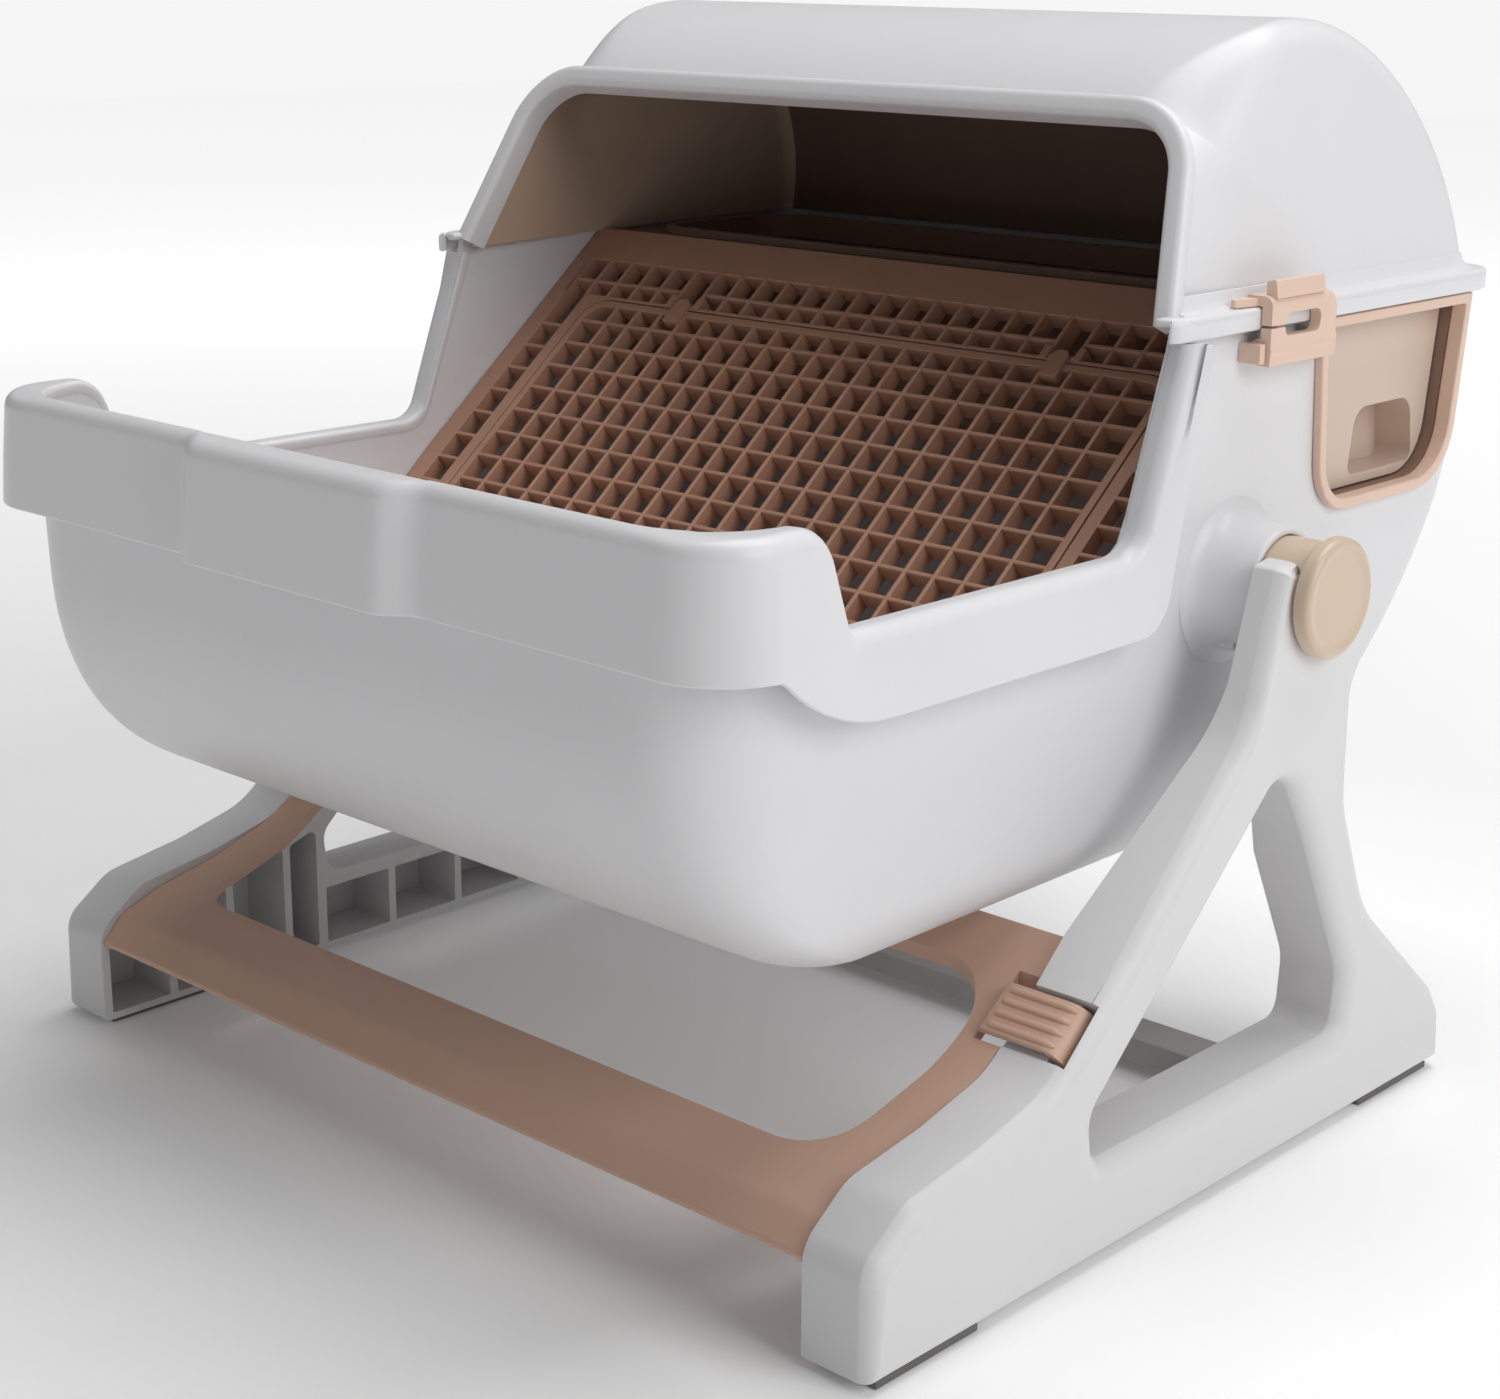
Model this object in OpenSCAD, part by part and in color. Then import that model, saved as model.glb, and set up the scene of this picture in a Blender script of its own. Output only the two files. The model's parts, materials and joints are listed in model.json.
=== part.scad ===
// Hooded cat litter box that is emptied by rolling: a drum with a barrel hood hangs on
// two stout pivot pins in a stand, and a sieve inside sorts the waste into a side drawer.
// X runs across the box (the drawer opens towards +X), the entrance faces -Y, +Z is up.
// Outlines are laid out from the front of the feet and then centred on the origin.

/* [Stand] */
// Width over the outer faces of the two side supports
stand_w = 470; // [468:1:474]
// Depth of the feet, front to back
stand_d = 371; // [368:1:374]
// Height of the rubber pads under the feet
pad_h = 3; // [2:0.5:4]
// Wall thickness of the moulded side supports
support_wall = 3; // [2.5:0.5:4]
// Thickness of the cross frame
frame_t = 4; // [3:0.5:5]

/* [Pivot] */
// Distance of the pivot axis behind the front of the feet
pivot_y = 249; // [247:0.5:251]
// Height of the pivot axis above the floor
pivot_z = 227; // [225:0.5:229]
// Radius of the pivot pin's shaft
pin_r = 20; // [19:0.5:20]
// Radius of the pivot pin's disc head
disc_r = 22.8; // [22.5:0.1:24]
// Radial clearance of the shaft in its cradle
pin_gap = 0.1; // [0.08:0.01:0.15]

/* [Drum] */
// Half width of the drum's side walls at the top
drum_half_w = 195; // [194:0.5:196]
// Half width of the drum's side walls at the bottom
drum_half_w_low = 188; // [186:0.5:190]
// Wall thickness of the tub and the hood
wall = 3; // [2.5:0.5:3.5]
// Height of the underside of the drum
drum_low_z = 118; // [117:0.5:119]
// Height of the seam between the tub and the hood
seam_z = 327; // [326:0.5:328]
// Top of the low side walls
side_top_z = 249.3; // [248:0.1:251]
// Top of the high front lip
lip_top_z = 286.2; // [285:0.1:288]

/* [Hood] */
// Radius of the barrel
barrel_r = 105; // [104:0.5:106]
// Height of the hood flange
flange_h = 8.5; // [8:0.5:9]
// Half width over the hood flange
flange_half_w = 201.5; // [200:0.5:202]

/* [Sieve] */
// Slope of the sieve from the horizontal, in degrees
sieve_angle = 39.7; // [39:0.1:40.5]
// Thickness of the sieve and its flap
sieve_t = 8; // [7:0.5:8]
// Distance between neighbouring bars
cell_pitch = 14; // [13.9:0.05:14.1]
// Width of a bar
bar_w = 2; // [1.8:0.1:2.4]

/* [Drawer] */
// Wall thickness of the drawer and its housing
drawer_wall = 2.2; // [2:0.1:2.4]
// Gap between the drawer and its housing
drawer_gap = 0.7; // [0.5:0.1:0.9]

/* [Hidden] */

arc_steps = 7;
bore_fn = 64;
slack = 0.3;
far = 300;

stand_x = stand_w / 2;
support_in_low = 204;
support_in_top = 220;
frame_back_y = 145;
frame_back_z = 112;

tub_front_y = -34;
tub_front_r = 98;
tub_back_r = 187;
tub_back_y = 242;
tub_edge_z = 235;
rim_half_w = 208;
rim_front_y = -42;
grip_front_y = -50.5;
grip_half_w = 54;
grip_ramp = 13;
boss_r = 23;
boss_face_x = 218.5;

barrel_y = 318;
barrel_z = 326;
front_low = [201, seam_z];
front_high = [233.5, 399];
front_lean = atan2(front_high[0] - front_low[0], front_high[1] - front_low[1]);
hood_half_w = 192;
hood_draft = 0.18;
flange_front_y = 197;
flange_back_y = 434;
flange_low_z = seam_z + 3 - flange_h;

sieve_top_y = 295.1;
sieve_top_z = 331;
sieve_half_w = 191.4;
flap_top = 51;
flap_len = 229;
flap_half_w = 161.5;
flap_pitch = 14.27;
hinge_s = 47.5;
hinge_z = -1.5;
hinge_x = 105;
hinge_pin_r = 1.5;

clip_y = 249;
clip_w = 45;
clip_pin_x = 201.6;
clip_pin_z = 313.5;
clip_pin_r = 1.5;

latch_y = [104, 130];
latch_foot_y = 112;
latch_foot_z = 88;
latch_len = 35.5;
latch_w = 22;
latch_t = 3;
latch_root_x = 193.7;

y_mid = (grip_front_y + flange_back_y) / 2;

// ---- outlines ---------------------------------------------------------------------

function unit(v) = v / norm(v);

// Points of an arc, in degrees
function arc(c, r, a0, a1, n) =
    [for (i = [0:n]) c + r * [cos(a0 + (a1 - a0) * i / n), sin(a0 + (a1 - a0) * i / n)]];

// Points that round the corner b between a and c with an arc of radius r
function corner(a, b, c, r) =
    r <= 0 ? [b] :
    let (u = unit(a - b), w = unit(c - b), half = acos(u * w) / 2)
    let (centre = b + unit(u + w) * r / sin(half))
    let (p = b + u * r / tan(half) - centre, q = b + w * r / tan(half) - centre)
    let (a0 = atan2(p[1], p[0]), turn = atan2(p[0] * q[1] - p[1] * q[0], p * q))
    arc(centre, r, a0, a0 + turn, arc_steps);

// Closed outline through corners [x, y, radius], each rounded by its radius
function rounded(pts) =
    let (n = len(pts))
    [for (i = [0:n - 1]) let (a = pts[(i + n - 1) % n], b = pts[i], c = pts[(i + 1) % n])
        each corner([a[0], a[1]], [b[0], b[1]], [c[0], c[1]], b[2])];

// Right half of an outline, completed by its mirror image
function mirrored(pts) =
    concat(pts, [for (i = [len(pts) - 1:-1:0]) [-pts[i][0], pts[i][1], pts[i][2]]]);

// ---- placing ----------------------------------------------------------------------

// Lays out a (y, z) outline as a solid between two x values
module along_x(x0, x1)
    translate([x0, 0, 0]) rotate([90, 0, 90]) linear_extrude(x1 - x0) children();

// Lays out an (x, z) outline as a solid between two y values
module along_y(y0, y1)
    translate([0, y1, 0]) rotate([90, 0, 0]) linear_extrude(y1 - y0) children();

module along_z(z0, z1)
    translate([0, 0, z0]) linear_extrude(z1 - z0) children();

module centred() translate([0, -y_mid, 0]) children();

// The left-hand copy of a right-hand piece
module left() mirror([1, 0, 0]) children();

module at_pivot() translate([0, pivot_y, pivot_z]) children();

module cyl_x(r, x0, x1)
    translate([x0, 0, 0]) rotate([0, 90, 0]) cylinder(r = r, h = x1 - x0, $fn = bore_fn);

// ---- stand ------------------------------------------------------------------------

function support_outline() = rounded([
    [0, pad_h, 2], [0, 45, 14], [22, 61, 20], [60, 67, 60], [96, 76, 40], [138, 114, 40],
    [207, 181, 45], [225, 240, 2], [pivot_y - 5, 243, 0], [pivot_y + 5, pivot_z + 5, 0],
    [270, 223.5, 3], [287, 223.5, 5], [296, 214, 4], [279, 186, 14], [281, 140, 40],
    [303, 90, 60], [364, 38, 8], [stand_d, 26, 6], [stand_d, pad_h, 2]]);

function window_outline(t) = rounded([
    [124 + t, 40 + t, 9 - t], [121 + t, 60, 10 - t], [235, 164 - t, 12 - t],
    [254 - t, 134, 40], [289 - t, 66, 20 - t], [287 - t, 40 + t, 8 - t]]);

// Inner limit of a support, closer to the drum at the foot than at the neck
module support_block()
    along_y(-1, stand_d + 1) polygon([[support_in_low, 0], [support_in_low, 116],
        [support_in_top, 198], [support_in_top, 300], [stand_x, 300], [stand_x, 0]]);

module cradle_cut() {
    at_pivot() cyl_x(pin_r + pin_gap, support_in_top - 20, stand_x + 1);
    translate([support_in_top - 20, pivot_y - pin_r * 0.72, pivot_z + pin_r * 0.6])
        cube([stand_x, pin_r * 1.62, 40]);
}

// Hollow legs: an outer skin, a wall that follows the outline, and ribs inside
module side_support() {
    color("whitesmoke") difference() {
        intersection() {
            support_block();
            along_x(support_in_low, stand_x) polygon(support_outline());
        }
        along_x(support_in_low - 1, stand_x + 1) polygon(window_outline(0));
        cradle_cut();
        support_cells();
    }
}

// Open cells between the ribs, cut from the inner side
module support_cells() {
    inner = stand_x - support_wall;
    for (c = [[4, 34], [38, 66], [70, 98], [102, 117]])
        along_x(0, inner) polygon(rounded([[c[0], pad_h + 3, 1], [c[0], 40 + c[0] * 0.18, 3],
            [c[1], 40 + c[1] * 0.2, 3], [c[1], pad_h + 3, 1]]));
    for (i = [0:3])
        along_x(0, inner) polygon(rounded([[122 + 41 * i, pad_h + 3, 1], [122 + 41 * i, 33, 1],
            [159 + 41 * i, 33, 1], [159 + 41 * i, pad_h + 3, 1]]));
    along_x(0, inner) polygon(rounded([[298, pad_h + 3, 2], [298, 64, 3], [308, 66, 3],
        [328, 50, 3], [328, pad_h + 3, 2]]));
    along_x(0, inner) polygon(rounded([[332, pad_h + 3, 2], [332, 46, 3], [359, 27, 3],
        [365, pad_h + 3, 2]]));
}

// Corners of the frame's arched top face, dropped by t
function frame_arch(t) = [for (p = [[1, 40, 2], [11, 50.5, 12], [30, 57.5, 30], [60, 64, 60],
    [90, 74, 60], [115, 90, 60], [frame_back_y, frame_back_z, 0]])
    [p[0] + t * 0.5, p[1] - t, p[2]]];

// Side view of the frame between two depths below its top face
function frame_strip(t0, t1) = rounded(concat(frame_arch(t0),
    [for (i = [6:-1:0]) frame_arch(t1)[i]]));

// Curved cross frame that ties the supports together, with one wide opening
module base_frame() {
    side = support_in_low - slack;
    color("rosybrown") difference() {
        union() {
            along_x(-side, side) polygon(frame_strip(0, frame_t));
            for (x = [-side, side - frame_t])
                along_x(x, x + frame_t) polygon(frame_strip(1, 14));
        }
        along_z(0, far) polygon(rounded(mirrored([[180, 34, 22], [188, 128, 24]])));
        for (s = [-1, 1]) translate([s * side, 0, 0])
            translate([-12, latch_y[0], 70]) cube([24, latch_y[1] - latch_y[0], 60]);
    }
}

// Frame of a latch: x outwards, y up the slope of the frame's arm, z out of its top face
module on_latch_slope()
    translate([0, latch_foot_y, latch_foot_z])
        rotate([atan2(frame_back_z - latch_foot_z, frame_back_y - latch_foot_y), 0, 0]) children();

// Ribbed spring tongue at the right, rooted in the cross frame and hooked over the support
module latch() {
    color("rosybrown") on_latch_slope() {
        translate([latch_root_x, -7, 0.6]) cube([latch_len, latch_w, latch_t]);
        translate([latch_root_x, latch_w - 7, 0.6 + latch_t / 2]) rotate([90, 0, 0])
            cylinder(r = latch_t / 2, h = latch_w, $fn = 32);
        translate([latch_root_x + latch_len - 3.5, -7, -11]) cube([3.5, latch_w, 11.6 + latch_t]);
        for (i = [0:2]) translate([latch_root_x + 3, -3.5 + 7.5 * i, 0.4 + latch_t])
            rotate([0, 90, 0]) cylinder(r = 1.9, h = latch_len - 7.5, $fn = 24);
    }
}

module latch_cut() {
    on_latch_slope() translate([support_in_low - 6, -9, -0.4])
        cube([stand_x - support_in_low + 1.5, latch_w + 4, 40]);
    on_latch_slope() translate([support_in_low + 19, -9, -14]) cube([8, latch_w + 4, 40]);
}

module side_support_right() centred() difference() {
    side_support();
    latch_cut();
}

module side_support_left() left() side_support_right();

module rear_crossbar()
    color("gainsboro") centred() translate([-support_in_low + 0.1, 272, 6]) difference() {
        cube([2 * support_in_low - 0.2, 21, 10.5]);
        translate([3, 2.5, -1]) cube([2 * support_in_low - 6.2, 16, 9]);
    }

module foot_pads()
    color("dimgray") centred()
        for (s = [-1, 1], y = [6, stand_d - 60])
            translate([s > 0 ? support_in_low + 3 : -stand_x + 3, y, 0])
                cube([stand_x - support_in_low - 6, 54, pad_h]);

// ---- drum -------------------------------------------------------------------------

// Side view of the drum, drawn in by t
function tub_side(t) = concat(
    [[tub_back_y + tub_back_r - t, far + 100]],
    arc([tub_back_y, drum_low_z + tub_back_r], tub_back_r - t, 0, -90, 16),
    arc([tub_front_y + tub_front_r, drum_low_z + tub_front_r], tub_front_r - t, -90, -180, 12),
    [[tub_front_y + t, far + 100]]);

// Front view of the drum, drawn in by t
function tub_front(t) = rounded(mirrored([
    [drum_half_w - t, far + 100, 0], [drum_half_w - t, tub_edge_z, 0],
    [drum_half_w_low - t, drum_low_z + t, 25 - t]]));

// Plan of the drum, drawn in by t
function tub_plan(t) = rounded(mirrored([
    [drum_half_w - t, tub_back_y + tub_back_r - t, 15 - t],
    [drum_half_w - t, tub_front_y + t, 36 - t]]));

module tub_solid(t) intersection() {
    along_x(-far, far) polygon(tub_side(t));
    along_y(-far, 2 * far) polygon(tub_front(t));
    along_z(0, far + 99) polygon(tub_plan(t));
}

// Everything above the rim of the tub, seen from the side
function above_rim() = rounded([
    [-80, lip_top_z, 0], [8.5, lip_top_z, 14], [21, side_top_z, 3], [177, side_top_z, 14],
    [205, seam_z, 0], [500, seam_z, 0], [500, 500, 0], [-80, 500, 0]]);

// Side view of the wrap-around rim
function rim_side(drop) = rounded([
    [-80, lip_top_z - drop, 0], [8.5, lip_top_z - drop, 14], [21, side_top_z - drop, 3],
    [177, side_top_z - drop, 14], [203, flange_low_z - slack, 0],
    [213, flange_low_z - slack, 0], [187.5, 218.6, 16], [60, 219, 0], [8.1, 219.2, 70],
    [-15.4, 241, 1], [-80, 241, 0]]);

function rim_plan(t) = rounded(mirrored([
    [rim_half_w - t, 260, 0], [rim_half_w - t, rim_front_y + t, 32 - t],
    [grip_half_w + grip_ramp, rim_front_y + t, 6], [grip_half_w, grip_front_y + t, 6]]));

module tub_rim() difference() {
    intersection() {
        along_x(-far, far) polygon(rim_side(0));
        along_z(0, far + 99) polygon(rim_plan(0));
    }
    tub_solid(0.5);
    intersection() {
        along_x(-far, far) polygon(rim_side(3));
        along_z(0, far + 99) polygon(rim_plan(2.6));
        union() {
            translate([-far, -80, 0]) cube([2 * far, 82, 400]);
            translate([-far, 18, 0]) cube([2 * far, 140, 400]);
        }
    }
    translate([-far, -80, 0]) cube([2 * far, 400, 218]);
}

// Tapered boss that carries one pivot pin
module boss_right() at_pivot() {
    translate([drum_half_w - 2, 0, 0]) rotate([0, 90, 0])
        rotate_extrude($fn = bore_fn) polygon([[0, 0], [29, 0], [26, 7], [boss_r + 1, 18],
            [boss_r, boss_face_x - drum_half_w + 2], [0, boss_face_x - drum_half_w + 2]]);
    translate([drum_half_w - 2, -20, -24.5]) cube([5, 40, 24.5]);
}

module tub() {
    color("white") centred() difference() {
        union() {
            difference() {
                tub_solid(0);
                along_x(-far, far) polygon(above_rim());
                tub_solid(wall);
            }
            tub_rim();
            boss_right();
            left() boss_right();
        }
        at_pivot() cyl_x(pin_r + 0.05, drum_half_w - 8, far);
        at_pivot() cyl_x(pin_r + 0.05, -far, -drum_half_w + 8);
        along_x(drum_half_w - wall - 1, drum_half_w + 1) polygon(drawer_outline(1.9));
    }
}

// Side view of the hood, drawn in by t and carried on past its open front and base
function hood_side(t) = concat(
    [front_low - [3 * t, 2 * t], front_high - [3 * t, 0]],
    arc([barrel_y, barrel_z], barrel_r - t, 137, asin((seam_z - barrel_z) / barrel_r), 22),
    t > 0 ? [[barrel_y + barrel_r - t, seam_z - 2 * t]] : []);

function hood_front(t) = [
    [hood_half_w - t + hood_draft * 10, seam_z - 10],
    [hood_half_w - t - hood_draft * 110, seam_z + 110],
    [-hood_half_w + t + hood_draft * 110, seam_z + 110],
    [-hood_half_w + t - hood_draft * 10, seam_z - 10]];

module hood_solid(t) intersection() {
    along_x(-far, far) polygon(hood_side(t));
    along_y(0, 2 * far) polygon(hood_front(t));
}

// Entrance outline in the sloping front plane, grown by t
function entrance(t) = rounded(mirrored([
    [186 + t, 0, 0], [169 + t, 76.5 + t, 26 + t]]));

module in_front_plane()
    translate([0, front_low[0], front_low[1]]) rotate([90 - front_lean, 0, 0]) children();

module hood_rim() intersection() {
    in_front_plane() translate([0, 0, -11]) linear_extrude(11) difference() {
        polygon(entrance(9));
        translate([0, -1]) polygon(entrance(0));
    }
    along_z(seam_z, far + 200) translate([-far, 0]) square([2 * far, 2 * far]);
}

flange_plan = rounded(mirrored([
    [flange_half_w, flange_back_y, 20], [flange_half_w, flange_front_y, 9]]));

module hood_flange() difference() {
    along_z(flange_low_z, seam_z + 3) polygon(flange_plan);
    along_z(flange_low_z - 1, seam_z) polygon(tub_plan(-slack));
    along_z(seam_z - 1, seam_z + 4) polygon(rounded(mirrored([
        [hood_half_w - 2, barrel_y + barrel_r - 2, 10], [hood_half_w - 2, 150, 0]])));
}

module hood() color("white") centred() {
    difference() {
        hood_solid(0);
        hood_solid(wall);
    }
    hood_rim();
    hood_flange();
}

// ---- sieve ------------------------------------------------------------------------

// Frame of the sieve: x across, y up the slope (0 at the ledge), z out of the upper face
module on_sieve()
    translate([0, sieve_top_y, sieve_top_z]) rotate([sieve_angle, 0, 0]) children();

module sieve_plate() translate([0, 0, -sieve_t]) linear_extrude(sieve_t) children();

// Square holes, nx by ny, centred on x, starting at distance s0 down the slope
module cells(nx, ny, s0, pitch_x, pitch_s, bar)
    for (i = [0:nx - 1], j = [0:ny - 1])
        translate([(i - nx / 2) * pitch_x + bar / 2, -s0 - (j + 1) * pitch_s + bar])
            square([pitch_x - bar, pitch_s - bar]);

module sieve_outline() polygon(rounded(mirrored([[sieve_half_w, -7, 0], [sieve_half_w, -150, 0],
    [184, -280, 0], [174, -310, 6]])));

// Outline of the flap, grown by t
module flap_outline(t) polygon(rounded(mirrored([
    [flap_half_w + t, -flap_top + t, 12 + t], [flap_half_w + t, -flap_top - flap_len - t, 12 + t]])));

module sieve_panel() {
    flap_bottom = flap_top + flap_len;
    color("tan") centred() on_sieve() difference() {
        sieve_plate() difference() {
            sieve_outline();
            cells(26, 1, 27, cell_pitch, cell_pitch, bar_w);
            cells(26, 1, 41, cell_pitch, 9.5, bar_w);
            for (s = [-1, 1], j = [0:15])
                translate([s * 174.5 - 6, -54 - cell_pitch * (j + 1)]) square([12, cell_pitch - bar_w]);
            cells(24, 1, flap_bottom + 5, cell_pitch, cell_pitch, bar_w);
            flap_outline(0.8);
            for (s = [-1, 1]) translate([s * hinge_x - 6.5, -57]) square([13, 29]);
        }
        for (s = [-1, 1]) translate([s * hinge_x, -hinge_s, hinge_z])
            cyl_x(hinge_pin_r + 0.05, -9, 9);
    }
    // Ears beside each tongue that carry the hinge pins
    color("tan") centred() on_sieve() difference() {
        for (s = [-1, 1], e = [-10, 6.5])
            translate([s * hinge_x + e, -49.8, -sieve_t]) cube([3.5, 6.8, sieve_t + 0.8]);
        for (s = [-1, 1]) translate([s * hinge_x, -hinge_s, hinge_z])
            cyl_x(hinge_pin_r + 0.05, -9, 9);
    }
}

module sieve_flap() {
    color("tan") centred() on_sieve() {
        difference() {
            union() {
                sieve_plate() difference() {
                    flap_outline(0);
                    intersection() {
                        union() {
                            cells(22, 1, flap_top + 3, flap_pitch, 11, bar_w);
                            cells(22, 15, flap_top + 14, flap_pitch, cell_pitch, bar_w);
                        }
                        flap_outline(-3.5);
                    }
                    for (s = [-1, 1]) translate([s * hinge_x - 6.5, -57]) square([13, 8]);
                }
                for (s = [-1, 1]) translate([s * hinge_x - 4.5, -hinge_s, hinge_z]) {
                    cyl_x(3.2, 0, 9);
                    translate([0, -12, -3.2]) cube([9, 12, 6]);
                }
            }
            for (s = [-1, 1]) translate([s * hinge_x, -hinge_s, hinge_z])
                cyl_x(hinge_pin_r + 0.08, -9, 9);
        }
    }
}

module flap_hinge_pins()
    color("silver") centred() on_sieve()
        for (s = [-1, 1]) translate([s * hinge_x, -hinge_s, hinge_z])
            cyl_x(hinge_pin_r, -8.9, 8.9);

// ---- waste drawer -----------------------------------------------------------------

// Side view of the drawer opening, drawn in by t
function drawer_outline(t) = rounded([
    [298 + t, 321 - t, 0], [303.5 + t, 243 + t, 22 - t], [404 - t, 243 + t, 28 - t],
    [414 - t, 321 - t, 0]]);

module drawer_bezel() {
    outer = drum_half_w + 4;
    color("rosybrown") centred() difference() {
        union() {
            along_x(drum_half_w, outer) polygon(drawer_outline(0));
            along_x(drum_half_w - wall, drum_half_w) polygon(drawer_outline(2));
        }
        along_x(drum_half_w - wall - 1, outer + 1) polygon(drawer_outline(4.5));
    }
}

module drawer_housing() {
    end = drum_half_w - wall - 0.2;
    color("sienna") centred() {
        difference() {
            along_x(-end, end) polygon(drawer_outline(2));
            along_x(-end + drawer_wall, end + 1) polygon(drawer_outline(2 + drawer_wall));
            along_z(260, far + 99) waste_slot(0);
        }
        difference() {
            union() {
                along_z(319, 325) translate([-end, 295.5]) square([2 * end, 115.5]);
                along_z(325, 328) waste_slot(5);
            }
            along_z(260, far + 99) waste_slot(0);
        }
    }
}

module waste_slot(t) polygon(rounded(mirrored([[168 + t, 388 + t, 16 + t],
    [168 + t, 308 - t, 16 + t]])));

module waste_drawer() {
    inset = 2 + drawer_wall + drawer_gap;
    start = -drum_half_w + wall + 6;
    color("tan") centred() difference() {
        along_x(start, 168) polygon(drawer_outline(inset));
        along_x(start + drawer_wall, 168 - drawer_wall) translate([0, 4])
            polygon(drawer_outline(inset + drawer_wall));
        along_x(start + drawer_wall, 168 - drawer_wall) polygon(drawer_outline(inset + drawer_wall));
    }
}

// Door plate with a scooped finger pocket, fixed to the end of the drawer
module drawer_front() {
    inset = 2 + drawer_wall + drawer_gap;
    pocket = rounded([[343, 252, 4], [347, 279, 9], [390, 279, 9], [394, 252, 4]]);
    color("tan") centred() difference() {
        union() {
            along_x(184, 187) polygon(drawer_outline(inset));
            along_x(168, 185) intersection() {
                polygon(rounded([[341, 249, 5], [345, 282, 10], [392, 282, 10], [396, 249, 5]]));
                polygon(drawer_outline(inset));
            }
        }
        along_x(170, 190) polygon(pocket);
    }
}

// ---- pivot pins and hood clips ----------------------------------------------------

module pivot_pin_right() color("burlywood") centred() at_pivot() {
    cyl_x(pin_r, drum_half_w - 7.5, stand_x + 1);
    translate([stand_x + 1, 0, 0]) rotate([0, 90, 0]) rotate_extrude($fn = bore_fn)
        polygon([[0, 0], [disc_r - 1, 0], [disc_r, 1], [disc_r, 5.5], [disc_r - 1.5, 7], [0, 7]]);
}

module pivot_pin_left() left() pivot_pin_right();

// Clip that pivots low on the tub and hooks over the hood flange
module hood_clip_right() {
    gap = slack;
    inner = flange_half_w + gap;
    outer = inner + 4.5;
    top = seam_z + 3 + gap;
    color("rosybrown") centred() difference() {
        union() {
            intersection() {
                along_y(clip_y, clip_y + clip_w) polygon(rounded([[inner, clip_pin_z - 3, 0],
                    [outer, clip_pin_z - 3, 1], [outer, top + 4, 4], [hood_half_w + 3, top + 4, 1],
                    [hood_half_w + 3, top, 0], [inner, top, 0]]));
                along_x(0, far) polygon(rounded([[clip_y, clip_pin_z - 4, 0],
                    [clip_y, top + 5, 1], [clip_y + clip_w, top + 5, 10],
                    [clip_y + clip_w, clip_pin_z - 4, 0]]));
            }
            along_z(top, top + 3) polygon(rounded([[hood_half_w + 3, clip_y + 12, 1],
                [hood_half_w + 3, clip_y - 11, 1], [hood_half_w + 5.5, clip_y - 12, 1],
                [hood_half_w + 8, clip_y + 1, 6], [outer - 2, clip_y + 12, 1]]));
            translate([clip_pin_x, clip_y, clip_pin_z]) rotate([-90, 0, 0])
                cylinder(r = 5, h = clip_w, $fn = bore_fn);
            translate([clip_pin_x, clip_y, clip_pin_z - 5]) cube([outer - clip_pin_x, clip_w, 7]);
            along_y(clip_y + 3, clip_y + 36) polygon(rounded([[outer - 5, top + 3, 0],
                [outer - 5, top + 9, 1], [outer - 1, top + 10, 1], [outer, top + 3, 0]]));
        }
        along_x(inner - 1, outer + 1) polygon(rounded([[clip_y + 9, clip_pin_z + 5.5, 3],
            [clip_y + 10.5, clip_pin_z + 14, 3.5], [clip_y + 35, clip_pin_z + 14, 3.5],
            [clip_y + 33, clip_pin_z + 5.5, 3]]));
        translate([inner - 1, clip_y - 1, clip_pin_z + 9]) cube([9, 12, 1]);
        translate([clip_pin_x, clip_y - 1, clip_pin_z]) rotate([-90, 0, 0])
            cylinder(r = clip_pin_r + 0.06, h = clip_w + 2, $fn = bore_fn);
    }
}

module hood_clip_left() left() hood_clip_right();

// Clip pin with the two lugs that hold it to the tub
module clip_pin_right() color("white") centred() {
    translate([clip_pin_x, clip_y - 4, clip_pin_z]) rotate([-90, 0, 0])
        cylinder(r = clip_pin_r, h = clip_w + 8, $fn = bore_fn);
    for (y = [clip_y - 4, clip_y + clip_w + 0.4])
        translate([drum_half_w, y, clip_pin_z - 4]) cube([9.6, 3.6, 7.5]);
}

module clip_pin_left() left() clip_pin_right();

module latch_right() centred() latch();

module latch_left() left() latch_right();

side_support_right();
side_support_left();
centred() base_frame();
latch_right();
latch_left();
rear_crossbar();
foot_pads();
tub();
hood();
sieve_panel();
sieve_flap();
flap_hinge_pins();
drawer_housing();
drawer_bezel();
waste_drawer();
drawer_front();
pivot_pin_right();
pivot_pin_left();
hood_clip_right();
hood_clip_left();
clip_pin_right();
clip_pin_left();
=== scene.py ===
"""Looks of the hooded litter box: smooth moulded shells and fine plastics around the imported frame.

Lengths inside the shape functions are millimetres, with y measured from the front of the feet,
as in the CAD source. TO_ROW turns them into the row frame in metres.
"""
import json
import math

import bmesh
import bpy
import numpy as np
from mathutils import Matrix, Vector


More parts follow.
